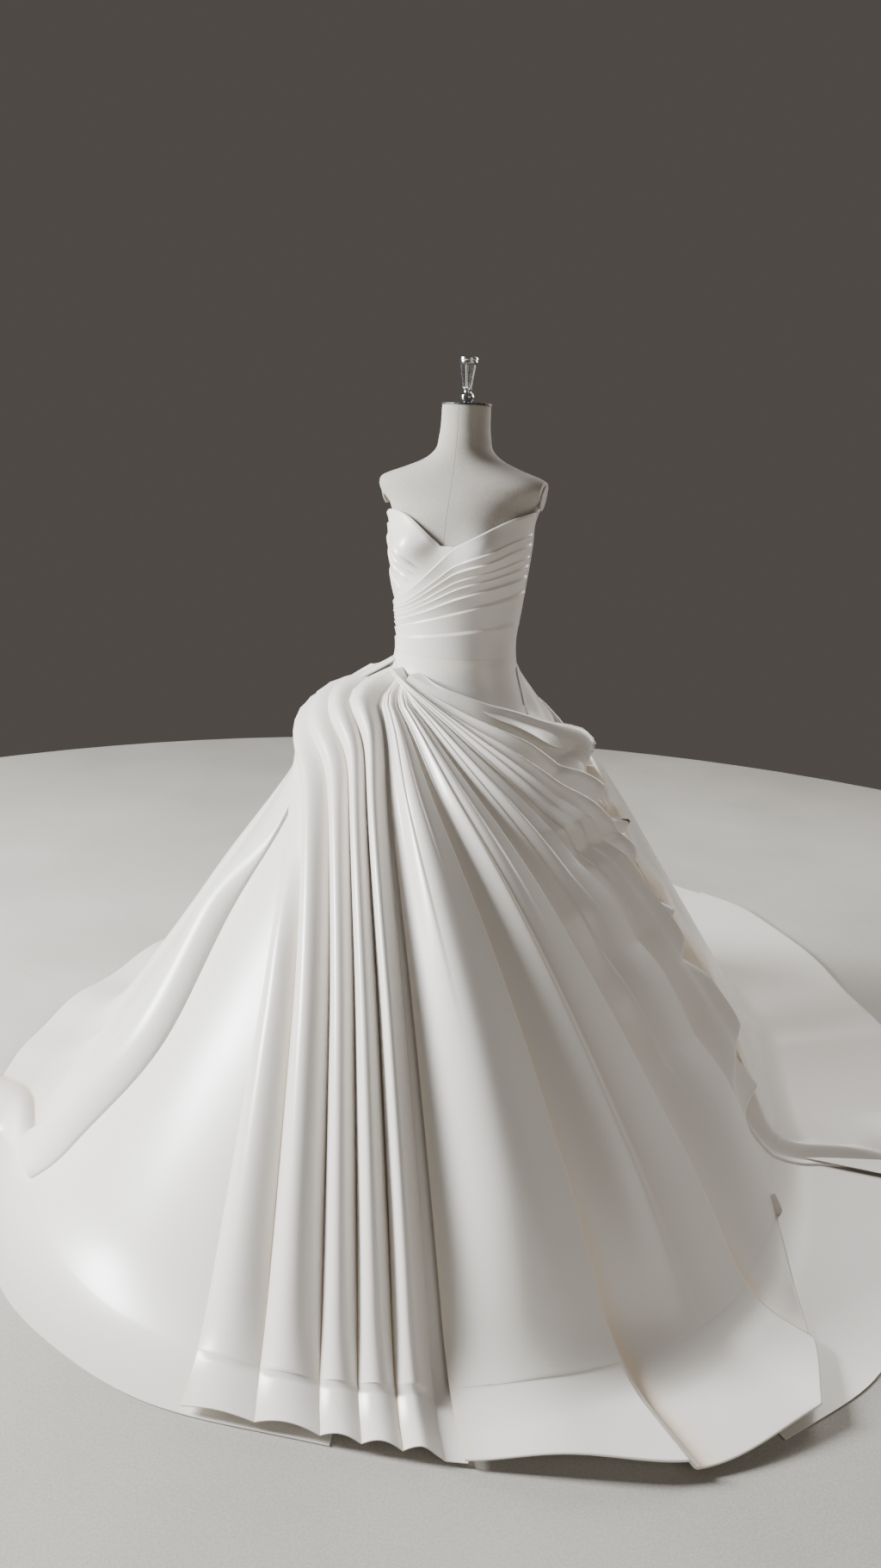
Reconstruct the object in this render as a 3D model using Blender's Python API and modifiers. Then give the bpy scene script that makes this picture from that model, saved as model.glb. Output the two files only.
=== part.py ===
"""Strapless satin wedding gown with a train, standing on a limbless dress form.

Metres, +Z up.  The origin is on the floor under the middle of the form's base plate.
The wearer's front is -Y and the wearer's left is +X.  A heading is an angle round the
form in degrees, 0 at the front and growing towards the wearer's left.  Every piece of
the skirt lies on one bell, whose place is given by a heading and a drop: 0 at the
waist, 1 where the bell meets the floor, 2 at the hem of what lies on the floor.
"""
import bmesh
import bpy
import math
import numpy as np
from mathutils import Matrix

# Driving sizes of the gown
WAIST_Z = 1.03
WALL = 0.0024
SEAM = 0.0003
LAYER = 0.0065
SKIRT_CLEAR = 0.0108
HIP_LAYER = 0.015
BACK_CLEAR = 0.0008
FLOOR_BEND = 0.10
FLOOR_SLOPE = 1.12
CLOTH_LIFT = 0.0008
# Rows near the floor: where they start, and their shares of the way from there to the hem
KNEE_DROP = 0.88
FLOOR_SHARES = (0.06, 0.10, 0.14, 0.18, 0.24, 0.42, 0.70, 1.0)

# Driving sizes of the form and its stand
FORM_BOTTOM = 0.74
NECK_TOP = 1.562
CAP_RADIUS = 0.052
CAP_THICK = 0.004
FINIAL_HEIGHT = 0.090
POLE_RADIUS = 0.014
BASE_RADIUS = 0.19
BASE_THICK = 0.012
ARM_CUT_X = 0.172
ARM_CUT_Z = 1.385
ARM_CUT_TILT = math.radians(9)
ARM_PLATE = 0.003

# Cross-sections of the form
# z, half width, depth to the front, depth to the back
BODY = (
    (0.740, 0.150, 0.098, 0.112),
    (0.840, 0.170, 0.114, 0.136),
    (0.900, 0.163, 0.112, 0.130),
    (0.970, 0.144, 0.106, 0.110),
    (1.030, 0.127, 0.098, 0.092),
    (1.080, 0.122, 0.095, 0.084),
    (1.150, 0.130, 0.098, 0.088),
    (1.200, 0.136, 0.104, 0.092),
    (1.250, 0.142, 0.110, 0.096),
    (1.290, 0.146, 0.110, 0.097),
    (1.340, 0.150, 0.100, 0.095),
    (1.365, 0.160, 0.092, 0.094),
    (1.385, 0.180, 0.084, 0.092),
    (1.403, 0.192, 0.078, 0.088),
    (1.420, 0.172, 0.071, 0.080),
    (1.436, 0.128, 0.066, 0.072),
    (1.452, 0.088, 0.062, 0.065),
    (1.472, 0.062, 0.058, 0.059),
    (1.500, 0.054, 0.053, 0.054),
    (1.562, 0.050, 0.050, 0.050),
)
# The bust of the form: two rounded rises
BUST_HEADING, BUST_Z = 36.0, 1.272
BUST_RISE, BUST_WIDTH, BUST_HEIGHT = 0.024, 20.0, 0.042

# The bell of the skirt, a row for each heading: radius where the hip folds break, at the
# thigh, at the knee and at the floor, and how far out the hem lies
BELL_DROPS = (0.0, 0.097, 0.223, 0.563, 1.0)
# heading, hip, thigh, knee, floor, hem
BELL = (
    (-165, 0.240, 0.360, 0.620, 1.04, 1.60),
    (-135, 0.255, 0.360, 0.600, 0.98, 1.28),
    (-105, 0.265, 0.345, 0.570, 0.90, 1.07),
    (-73, 0.285, 0.330, 0.540, 0.85, 1.02),
    (-45, 0.270, 0.350, 0.590, 0.93, 1.04),
    (-15, 0.215, 0.345, 0.640, 1.00, 1.11),
    (15, 0.190, 0.335, 0.650, 1.00, 1.11),
    (45, 0.185, 0.310, 0.595, 0.96, 1.20),
    (75, 0.178, 0.272, 0.510, 0.82, 1.15),
    (107, 0.186, 0.272, 0.510, 0.78, 1.20),
    (135, 0.215, 0.340, 0.590, 0.92, 1.33),
    (165, 0.235, 0.360, 0.620, 1.04, 1.68),
)

# The gather at the wearer's right hip, where the folds of the drape start
GATHER_HEADING = -68.0
GATHER_REACH = 0.10
FLOOR_TURN = 0.15
# Folds of the front drape, from the top rim down: direction each fold heads for, how far
# its rim stands out, and how much of the way to the next fold its face bulges
# direction, rim, bulge
DRAPE_FOLDS = (
    (104.0, 0.040, 0.004),
    (88.0, 0.030, 0.008),
    (68.0, 0.026, 0.020),
    (47.0, 0.030, 0.034),
    (27.0, 0.006, 0.000),
)
# Folds over the wearer's right hip, from the outer edge in: direction of each valley, how
# far below the waist it starts, and the height of the fold that follows it
# direction, start, height
HIP_FOLDS = (
    (7.0, 0.130, 0.026),
    (13.0, 0.125, 0.038),
    (18.0, 0.090, 0.034),
    (21.0, 0.055, 0.040),
    (24.0, 0.030, 0.042),
    (27.0, 0.015, 0.000),
)
# Cowls of the side swag, from the top rim down: direction and how far the rim stands out
# direction, rim
SWAG_FOLDS = (
    (215.0, 0.012),
    (137.0, 0.048),
    (116.0, 0.050),
    (101.0, 0.000),
)
# Near the wearer's left side the draped face turns back along a scalloped edge
# drop, heading of the edge
COWL_EDGE = (
    (0.10, 97.0),
    (0.165, 94.0),
    (0.29, 70.0),
    (0.325, 77.0),
    (0.417, 71.0),
    (0.49, 78.0),
    (0.56, 74.0),
    (0.67, 84.0),
    (0.786, 77.0),
    (1.0, 68.0),
    (2.0, 55.0),
)
# Pleats of the bodice: how many, and how far they stand out
CUP_PLEATS, CROSS_PLEATS, WRAP_PLEATS = 5, 7, 2
PLEAT_RISE = 0.0045
CLOTH_CLEAR = 0.0075
YOKE_TOP, YOKE_BOTTOM = 1.052, 0.945
PANEL_TOP = 0.078
SIDE_SEAM, CROSS_END = 89.8, -89.8
# Upper edge of the crossing panel, from its low end to the notch and on to the side
# heading, height
CROSS_EDGE = (
    (-89.8, 1.145),
    (-58.0, 1.172),
    (-40.0, 1.188),
    (-26.0, 1.209),
    (-4.0, 1.250),
    (13.0, 1.284),
    (40.0, 1.318),
    (89.8, 1.352),
)
# Its lower edge: height at the side and at the low end, and how far it sags between
CROSS_LOW_SIDE, CROSS_LOW_END, CROSS_SAG = 1.200, 1.096, 0.006
NOTCH_Z = 1.283
# Where each pleat of the cup meets the crossing panel, and where it starts at the side
# share of the cup's height, heading at the panel, height at the side
CUP_ROWS = (
    (0.00, 11.0, 1.349),
    (0.17, -13.0, 1.331),
    (0.36, -21.0, 1.309),
    (0.55, -31.0, 1.284),
    (0.77, -48.0, 1.240),
    (1.00, -84.8, 1.152),
)
# Where the drape and the hip folds meet, one tucked under the other
DRAPE_EDGE, HIP_EDGE = 28.4, 28.7
# The back panels meet at the back; the swag ends on the left one
BACK_SEAM, SWAG_END = 179.9, 164.0
# Heading of the swag's lowest point, and how far below the waist its back end starts
SWAG_LOWEST, SWAG_BACK_DROP = 104.0, 0.055
# Columns of the swag, closest together where its lower edge runs onto the floor
# from heading, to heading, how many
SWAG_COLUMNS = (
    (-24, 64, 9),
    (64, 80, 3),
    (80, 92, 6),
    (92, SWAG_END, 11),
)
ARM_PLATE_RADII = (0.026, 0.020)


def clear_scene():
    for thing in list(bpy.data.objects):
        bpy.data.objects.remove(thing, do_unlink=True)


def material(name, colour, roughness, metallic=0.0):
    made = bpy.data.materials.new(name)
    made.use_nodes = True
    shader = made.node_tree.nodes["Principled BSDF"]
    shader.inputs["Base Color"].default_value = (*colour, 1.0)
    shader.inputs["Roughness"].default_value = roughness
    shader.inputs["Metallic"].default_value = metallic
    made.diffuse_color = (*colour, 1.0)
    return made


def ease(low, high, value):
    """0 up to low, 1 from high on, and a soft S between them."""
    t = np.clip((np.asarray(value, float) - low) / (high - low), 0, 1)
    return t * t * (3 - 2 * t)


def through(knots, rows, at):
    """Smooth curve through rows at the knots: a cubic whose slope at each knot is that of
    the chord between its two neighbours.  rows has the knots on its last axis."""
    knots = np.asarray(knots, float)
    slopes = np.gradient(rows, knots, axis=-1)
    i = np.clip(np.searchsorted(knots, at, side="right") - 1, 0, len(knots) - 2)
    width = knots[i + 1] - knots[i]
    t = (at - knots[i]) / width

    def take(table, index):
        if table.ndim == 1:
            return table[index]
        return np.take_along_axis(table, index[..., None], -1)[..., 0]

    return ((2 * t**3 - 3 * t**2 + 1) * take(rows, i) + (t**3 - 2 * t**2 + t) * width * take(slopes, i)
            + (3 * t**2 - 2 * t**3) * take(rows, i + 1) + (t**3 - t**2) * width * take(slopes, i + 1))


def wrap(heading):
    return (np.asarray(heading, float) + 180.0) % 360.0 - 180.0


def body_radius(heading, z):
    """Distance of the form's side from the axis: an ellipse at each height, with one depth
    to the front and another to the back, and the two rises of the bust."""
    heading, z = np.broadcast_arrays(np.asarray(heading, float), np.asarray(z, float))
    table = np.array(BODY).T
    level = np.clip(z, table[0, 0], table[0, -1])
    half_width, front, back = (through(table[0], table[k], level) for k in (1, 2, 3))
    angle = np.radians(heading)
    depth = np.where(np.cos(angle) > 0, front, back)
    radius = 1 / np.sqrt((np.sin(angle) / half_width) ** 2 + (np.cos(angle) / depth) ** 2)
    sides = (np.exp(-((wrap(heading - s * BUST_HEADING)) / BUST_WIDTH) ** 2) for s in (-1, 1))
    return radius + BUST_RISE * sum(sides) * np.exp(-((z - BUST_Z) / BUST_HEIGHT) ** 2)


def body_point(heading, z, out):
    radius = body_radius(heading, z) + out
    angle = np.radians(heading)
    return np.stack([radius * np.sin(angle), -radius * np.cos(angle), np.broadcast_to(z, radius.shape)], -1)


def bell_point(heading, drop):
    """Point on the bell: its radius is smooth round the form and down the drop, never
    inside the form, and its height falls straight and turns softly onto the floor."""
    heading, drop = np.broadcast_arrays(np.asarray(heading, float), np.asarray(drop, float))
    table = np.array(BELL)
    around = np.concatenate([table[:, 0] - 360, table[:, 0], table[:, 0] + 360])
    radii = np.concatenate([table[:, 1:]] * 3)
    hip, thigh, knee, floor, hem = (through(around, radii[:, k], wrap(heading)) for k in range(5))
    waist = body_radius(heading, WAIST_Z) + SKIRT_CLEAR
    rows = np.stack([waist, hip, thigh, knee, floor], -1)
    radius = through(BELL_DROPS, rows, np.clip(drop, 0, 1))
    radius = radius + (hem - floor) * np.clip(drop - 1, 0, None)
    straight = np.where(drop < 1, WAIST_Z * (1 - drop), FLOOR_SLOPE * (hem - floor) * (1 - drop))
    turned = FLOOR_BEND / 4 * (1 + np.maximum(straight / FLOOR_BEND, -1)) ** 2
    z = np.where(straight > FLOOR_BEND, straight, turned) + CLOTH_LIFT
    radius = np.maximum(radius, body_radius(heading, z) * (z > FORM_BOTTOM) + SKIRT_CLEAR)
    angle = np.radians(heading)
    return np.stack([radius * np.sin(angle), -radius * np.cos(angle), z], -1)


def skirt_point(heading, drop, out, lift=0.0):
    """Point moved out from the bell along its normal, and lifted straight up."""
    step = 0.4
    here = bell_point(heading, drop)
    across = bell_point(heading + step, drop) - bell_point(heading - step, drop)
    down = bell_point(heading, drop + 0.004) - bell_point(heading, np.maximum(drop - 0.004, 0))
    normal = np.cross(down, across)
    normal /= np.linalg.norm(normal, axis=-1, keepdims=True)
    moved = here + normal * np.asarray(out)[..., None]
    moved[..., 2] = np.maximum(moved[..., 2] + lift, CLOTH_LIFT)
    return moved


def seat(points, heading, share, clear=SKIRT_CLEAR):
    """Points drawn in to the form by a share of the way, where a panel is sewn on."""
    on_body = body_point(heading, points[..., 2], clear)
    return points + (on_body - points) * share[..., None]


def panel_point(heading, drop):
    """Point of an inner panel: sewn on against the form at its top, on the bell below."""
    share = 1 - ease(PANEL_TOP + 0.005, PANEL_TOP + 0.09, drop)
    return seat(skirt_point(heading, drop, 0 * drop), heading, share)


def fan_drop(drop):
    """The drop as the fan counts it: on the floor a fold turns far less than in the air."""
    return np.minimum(drop, 1) + FLOOR_TURN * np.maximum(drop - 1, 0)


def fan_heading(direction, drop, start=GATHER_HEADING, above=0.0):
    """Heading of a fold at a drop: it leaves the gather's heading and bends towards its
    own direction, nine tenths of the way there by the time it is a metre down."""
    fallen = np.maximum(fan_drop(drop) - above, 0)
    return direction - (direction - start) * GATHER_REACH / (GATHER_REACH + fallen)


def rim_shape(t):
    """Section of one laid fold from its rim, t=0, to the next, t=1: up fast, down slowly."""
    return ease(0, 0.16, t) * (1 - ease(0.12, 1.0, t))


def drape_height(direction, drop):
    """How far the front drape stands out: laid folds whose rims face up, wider and higher
    the further they are from the gather, and lower again near the floor."""
    rows = np.array(DRAPE_FOLDS)
    spread = drop**1.5 / (drop**1.5 + 0.09) * (1 - 0.55 * ease(0.75, 1.05, drop))
    height = np.zeros(np.broadcast(direction, drop).shape)
    for (top, rim, bulge), (low, _, _) in zip(rows[:-1], rows[1:]):
        t = np.clip((top - direction) / (top - low), 0, 1)
        height = height + rim * rim_shape(t) + bulge * np.sin(math.pi * t) ** 2
    edge = 0.016 * ease(99, 104, direction)
    return (height + edge) * 1.25 * spread


def cowl_edge(drop):
    rows = np.array(COWL_EDGE).T
    return np.interp(drop, rows[0], rows[1])


def face_swell(heading, drop):
    """The draped face swells up to its scalloped edge, drops into the hollow behind it,
    and rises again to one broad fold over the side."""
    past = heading - cowl_edge(drop)
    face = 0.026 * ease(-40, -2, past) * (1 - ease(0, 11, past)) * ease(0.08, 0.2, drop)
    broad = 0.030 * ease(12, 27, past) * (1 - ease(118, 146, heading)) * ease(0.14, 0.26, drop)
    return face * (1 - ease(0.7, 0.95, drop)) + broad * (1 - 0.6 * ease(0.75, 1.0, drop))


def swag_height(direction, heading, drop):
    """How far the side swag stands out: each rim is a cowl that opens near the scalloped
    edge and closes behind it."""
    rows = np.array(SWAG_FOLDS)
    edge = cowl_edge(drop)
    window = ease(-20, 0.95 * edge, heading) * (1 - ease(0, 9, heading - edge))
    height = np.zeros(np.broadcast(direction, drop).shape)
    for (top, rim), (low, _) in zip(rows[:-1], rows[1:]):
        t = np.clip((top - direction) / (top - low), 0, 1)
        height = height + rim * rim_shape(t)
    return height * window * ease(0.0, 0.16, drop)


def grid_mesh(name, points):
    """Open sheet from a grid of points, rows by columns."""
    rows, columns, _ = points.shape
    index = np.arange(rows * columns).reshape(rows, columns)
    quads = np.stack([index[:-1, :-1], index[1:, :-1], index[1:, 1:], index[:-1, 1:]], -1)
    mesh = bpy.data.meshes.new(name)
    mesh.from_pydata(points.reshape(-1, 3).tolist(), [], quads.reshape(-1, 4).tolist())
    mesh.update()
    mesh.shade_smooth()
    return mesh


def add_object(name, mesh, finish, home):
    thing = bpy.data.objects.new(name, mesh)
    mesh.materials.append(finish)
    home.objects.link(thing)
    return thing


def add_sheet(name, points, finish, home):
    """Cloth of one wall, laid outwards on a grid of inner points by Solidify."""
    thing = add_object(name, grid_mesh(name, points), finish, home)
    solid = thing.modifiers.new("wall", "SOLIDIFY")
    solid.thickness = WALL
    solid.offset = 1.0
    solid.use_even_offset = False
    return thing


def add_pleated(name, inner, outer, finish, home):
    """Cloth with a plain inside and pleats raised in its outer points: two grids of the
    same size, joined round their edge."""
    rows, columns, _ = inner.shape
    count = rows * columns
    index = np.arange(count).reshape(rows, columns)
    quads = np.stack([index[:-1, :-1], index[1:, :-1], index[1:, 1:], index[:-1, 1:]], -1).reshape(-1, 4)
    loop = np.concatenate([index[0, :-1], index[:-1, -1], index[-1, :0:-1], index[:0:-1, 0]])
    after = np.roll(loop, -1)
    band = np.stack([loop, loop + count, after + count, after], -1)
    faces = np.concatenate([quads[:, ::-1], quads + count, band[:, ::-1]])
    mesh = bpy.data.meshes.new(name)
    mesh.from_pydata(np.concatenate([inner.reshape(-1, 3), outer.reshape(-1, 3)]).tolist(), [], faces.tolist())
    work = bmesh.new()
    work.from_mesh(mesh)
    bmesh.ops.recalc_face_normals(work, faces=work.faces)
    work.to_mesh(mesh)
    work.free()
    mesh.shade_smooth()
    mesh.set_sharp_from_angle(angle=math.radians(50))
    return add_object(name, mesh, finish, home)


def grid(rows, columns):
    """Row and column fractions of a grid, each from 0 to 1."""
    return np.meshgrid(np.linspace(0, 1, rows), np.linspace(0, 1, columns), indexing="ij")


def skirt_drops(first, end, upper, columns):
    """Drops of a panel's rows: spread from its top to the knee, then close together where
    the bell turns onto the floor, so that panels on top of each other bend alike.  A
    column that ends above the floor has even rows there."""
    first, end = (np.broadcast_to(value, columns) for value in (first, end))
    knee = np.minimum(KNEE_DROP, first + 0.7 * (end - first))
    falling = first + (knee - first) * np.linspace(0, 1, upper)[:, None] ** 1.6
    even = np.linspace(0, 1, len(FLOOR_SHARES) + 1)[1:, None]
    shares = even + (np.array(FLOOR_SHARES)[:, None] - even) * ease(0.95, 1.15, end)
    return np.concatenate([falling, knee + (end - knee) * shares])


def neckline(heading):
    """Top edge of the bodice: a flat notch in front, a peak at each side that the eye sees
    a little from the wearer's left, and a fall to the back."""
    turn = wrap(heading)
    along = np.sin(np.radians(turn - 22))
    left = 0.082 * np.clip((along + 0.156) / 1.156, 0, 1) - 0.050 * ease(106, 142, turn)
    right = 0.066 * np.clip((-0.423 - along) / 0.577, 0, 1) - 0.034 * ease(68, 113, -turn)
    return NOTCH_Z + np.where(turn > 0, left, right)


def cross_line(across, along):
    """Height of the wearer's-left panel's pleats, from its side seam, along=0, to where
    they meet low on the other side, along=1."""
    heading, height = np.array(CROSS_EDGE).T
    upper = through(heading, height, SIDE_SEAM + (CROSS_END - SIDE_SEAM) * along)
    lower = CROSS_LOW_SIDE + (CROSS_LOW_END - CROSS_LOW_SIDE) * along
    return upper + (lower - CROSS_SAG * np.sin(math.pi * along) - upper) * across


def pleat_wave(across, count):
    """Section across laid pleats: each rises fast at its upper edge and dies away."""
    t = (across * count) % 1.0
    return ease(0, 0.25, t) * (1 - ease(0.25, 1.0, t))


def build_bodice(satin, home):
    """Cup, crossing panel, waist wrap, yoke and two backs."""
    across, along = grid(1 + 3 * CROSS_PLEATS, 19)
    heading = SIDE_SEAM + (CROSS_END - SIDE_SEAM) * along
    z = cross_line(across, along)
    z = z + (1 - across) ** 3 * (np.where(heading > 13, neckline(heading), z[:1]) - z[:1])
    rise = PLEAT_RISE * pleat_wave(across, CROSS_PLEATS) * ease(0, 0.04, across) * ease(0, 0.03, along)
    rise = rise * (1 - 0.5 * ease(0.7, 1, along))
    inner = body_point(heading, z, CLOTH_CLEAR)
    add_pleated("bodice_cross_left", inner, body_point(heading, z, CLOTH_CLEAR + WALL + rise), satin, home)

    across, along = grid(1 + 3 * CUP_PLEATS, 12)
    shares, ends, sides = np.array(CUP_ROWS).T
    edge_heading = through(shares, ends, across)
    edge_along = (SIDE_SEAM - edge_heading) / (SIDE_SEAM - CROSS_END)
    edge_z = cross_line(np.zeros_like(across), edge_along) - 0.004 + 0.008 * across**3
    heading = -SIDE_SEAM + (edge_heading + SIDE_SEAM) * along
    side_z = through(shares, sides, across)
    z = side_z + (edge_z - side_z) * along - 0.012 * np.sin(math.pi * along) * (1 - across)
    z = z + (1 - across) ** 3 * (neckline(heading[:1]) - z[:1])
    rise = PLEAT_RISE * pleat_wave(across, CUP_PLEATS) * ease(0, 0.05, across) * (1 - ease(0.74, 0.88, along))
    sink = (0.0046 + 0.001 * across) * ease(0.74 - 0.4 * across, 0.88 - 0.3 * across, along)
    inner = body_point(heading, z, CLOTH_CLEAR - sink)
    outer = body_point(heading, z, CLOTH_CLEAR - sink + WALL + rise)
    add_pleated("bodice_cup_right", inner, outer, satin, home)

    across, along = grid(1 + 3 * WRAP_PLEATS, 17)
    heading = SIDE_SEAM - 2 * SIDE_SEAM * along
    crossed = np.minimum((SIDE_SEAM - heading) / (SIDE_SEAM - CROSS_END), 1)
    top = cross_line(np.ones_like(along), crossed)
    top = top - 2 * SEAM
    z = top + (YOKE_TOP + SEAM - top) * across
    rise = 0.8 * PLEAT_RISE * pleat_wave(across, WRAP_PLEATS) * ease(0, 0.05, across)
    inner = body_point(heading, z, CLOTH_CLEAR)
    add_pleated("bodice_waist_wrap", inner, body_point(heading, z, CLOTH_CLEAR + WALL + rise), satin, home)

    across, along = grid(4, 17)
    heading = SIDE_SEAM - 2 * SIDE_SEAM * along
    z = YOKE_TOP + (YOKE_BOTTOM - YOKE_TOP) * across
    wall = body_point(heading, z, CLOTH_CLEAR + WALL)
    add_pleated("bodice_yoke", body_point(heading, z, CLOTH_CLEAR), wall, satin, home)

    for name, low, high in (("bodice_back_left", 90.1, BACK_SEAM), ("bodice_back_right", -BACK_SEAM, -90.1)):
        across, along = grid(9, 9)
        heading = high + (low - high) * along
        z = neckline(heading) + (YOKE_BOTTOM - neckline(heading)) * across
        wall = body_point(heading, z, CLOTH_CLEAR + WALL)
        add_pleated(name, body_point(heading, z, CLOTH_CLEAR), wall, satin, home)


def build_front(satin, home):
    """The front drape's fan and the folds over the hip beside it."""
    top = DRAPE_FOLDS[0][0]
    direction = np.linspace(DRAPE_EDGE, top, 31)
    end = np.minimum(2, 0.84 + 1.16 * ((top - direction) / 44) ** 2.6)
    drop = skirt_drops(0.02, end, 13, 31)
    direction = np.broadcast_to(direction, drop.shape)
    heading = fan_heading(direction, drop)
    height = drape_height(direction, drop)
    turned = ease(0, 9, heading - cowl_edge(drop)) * (1 - ease(0.8, 0.95, drop))
    height = height * (1 - turned)
    seated = 0.97 * (1 - ease(0.02, 0.08, drop)) * (1 - ease(60, 85, direction))
    out = LAYER * (2 + 2 * turned) + height + face_swell(heading, drop)
    points = skirt_point(heading, drop, out, -0.45 * height * ease(50, 80, heading) * ease(70, 95, direction))
    points = seat(points, heading, seated, SKIRT_CLEAR - 2 * SEAM)
    add_sheet("skirt_front_drape", points, satin, home)

    rows = np.array(HIP_FOLDS)
    across = np.linspace(0, 1, 26)
    outer = HIP_FOLDS[0][0]
    direction = outer + (HIP_EDGE - outer) * across
    start = through(rows[:, 0], rows[:, 1], direction)
    drop = skirt_drops(start + 0.004, 2.0, 13, 26)
    direction = np.broadcast_to(direction, drop.shape)
    above = start * (1 - ease(24, 28, direction))
    heading = fan_heading(direction, drop, GATHER_HEADING - 32 * (1 - across), above)
    height = np.zeros_like(drop)
    for (low, _, rise), (high, _, _) in zip(rows[:-1], rows[1:]):
        t = np.clip((direction - low) / (high - low), 0, 1)
        if low > outer:
            height = height + rise * np.sin(math.pi * t) ** 1.2
        else:
            height = height + rise * np.sin(math.pi * t) * ease(0.3, 0.5, drop)
    below = drop - start
    height = height * below / (below + 0.14) * (1 - 0.7 * ease(0.75, 1.15, drop)) * 1.2
    tucked = (HIP_LAYER - LAYER) * ease(25.2, 26.6, direction)
    points = skirt_point(heading, drop, HIP_LAYER - tucked + height)
    add_sheet("skirt_hip_folds", points, satin, home)


def swag_top(heading):
    """Drop of the swag's top rim: out from the gather to its lowest at the side, then up
    again to the back of the waist."""
    rim = SWAG_FOLDS[0][0]
    falling = GATHER_REACH * (heading - GATHER_HEADING) / (rim - np.minimum(heading, SWAG_LOWEST))
    side = GATHER_REACH * (SWAG_LOWEST - GATHER_HEADING) / (rim - SWAG_LOWEST)
    back = side + (SWAG_BACK_DROP - side) * ease(SWAG_LOWEST, 175, heading)
    return np.where(heading < SWAG_LOWEST, falling, back)


def swag_bottom(heading):
    """Drop of the swag's lower edge: tucked under the drape's top fold, then the hem."""
    aim = 102
    line = GATHER_REACH * (heading - GATHER_HEADING) / np.maximum(aim - heading, 0.1)
    return np.minimum(line, 2.0)


def build_side(satin, home):
    """The swag of cowls at the wearer's left side, with the skirt panel under it."""
    heading = np.concatenate([
        np.linspace(low, high, count, endpoint=False) for low, high, count in SWAG_COLUMNS] + [[SWAG_END]])
    top = swag_top(heading)
    drop = skirt_drops(top, swag_bottom(heading), 14, len(heading))
    across = (drop - top) / (drop[-1] - top)
    heading = np.broadcast_to(heading, drop.shape)
    direction = heading + (heading - GATHER_HEADING) * GATHER_REACH / fan_drop(drop)
    height = swag_height(direction, heading, drop)
    rim = 0.028 * (1 - ease(0, 0.16, across)) * ease(40, 88, heading) * (1 - ease(104, 132, heading))
    waves = 0.020 * np.sin(np.radians((heading - 112) * 9)) ** 2 * ease(122, 132, heading)
    waves = waves * ease(0.1, 0.6, drop) * (1 - 0.5 * ease(0.9, 1.3, drop)) * (1 - ease(156, 163, heading))
    seated = (1 - ease(0, 0.2, across)) * (1 - ease(-24, 10, heading))
    out = LAYER * (1 + ease(60, 84, heading)) + height + rim + waves + face_swell(heading, drop)
    points = skirt_point(heading, drop, out, -0.35 * (height + rim) * ease(50, 80, heading))
    points = seat(points, heading, seated, SKIRT_CLEAR - SEAM)
    add_sheet("skirt_side_swag", points, satin, home)

    drop = skirt_drops(PANEL_TOP, 2.0, 8, 8)
    heading = np.broadcast_to(np.linspace(46, SIDE_SEAM, 8), drop.shape)
    add_sheet("skirt_side_panel", panel_point(heading, drop), satin, home)


def rolled_edge(drop):
    """Heading of the rolled front edge of the wearer's-right back panel."""
    drops = (0.0, 0.11, 0.23, 0.47, 0.68, 0.88, 1.38, 2.0)
    headings = (-82.0, -60.0, -42.0, -37.0, -32.0, -38.0, -52.0, -58.0)
    return through(drops, np.array(headings), drop)


def build_back(satin, home):
    """The panel on the wearer's right, and the two back panels with the train."""
    drop = skirt_drops(PANEL_TOP, 2.0, 9, 10)
    heading = np.broadcast_to(np.linspace(-60, 10, 10), drop.shape)
    add_sheet("skirt_right_panel", panel_point(heading, drop), satin, home)

    drop = skirt_drops(0.0, 2.0, 12, 26)
    edge = rolled_edge(drop)
    heading = edge + (-BACK_SEAM - edge) * np.linspace(1, 0, 26)
    from_edge = edge - heading
    roll = 0.036 * np.sin(math.pi * np.clip(from_edge / 11, 0, 1)) ** 0.8 * ease(0.28, 0.5, drop)
    roll = roll * (1 - 0.4 * ease(0.8, 1.1, drop))
    waves = 0.030 * np.sin(np.radians((heading + 62) * 9)) ** 2 * ease(70, 84, -heading)
    waves = waves * (1 - ease(170, 178, -heading))
    waves = waves * ease(0.1, 0.6, drop) * (1 - 0.5 * ease(0.9, 1.3, drop))
    out = BACK_CLEAR + LAYER * ease(0, 0.06, drop) + roll + waves
    add_sheet("skirt_back_right", skirt_point(heading, drop, out), satin, home)

    drop = skirt_drops(0.0, 2.0, 11, 15)
    heading = np.broadcast_to(np.linspace(90.1, BACK_SEAM, 15), drop.shape)
    waves = 0.030 * np.sin(np.radians((heading - 165) * 9)) ** 2 * ease(163, 168, heading)
    waves = waves * (1 - ease(172, 178, heading)) * ease(0.1, 0.6, drop)
    out = BACK_CLEAR + LAYER * ease(0, 0.06, drop) + waves
    add_sheet("skirt_back_left", skirt_point(heading, drop, out), satin, home)


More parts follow.
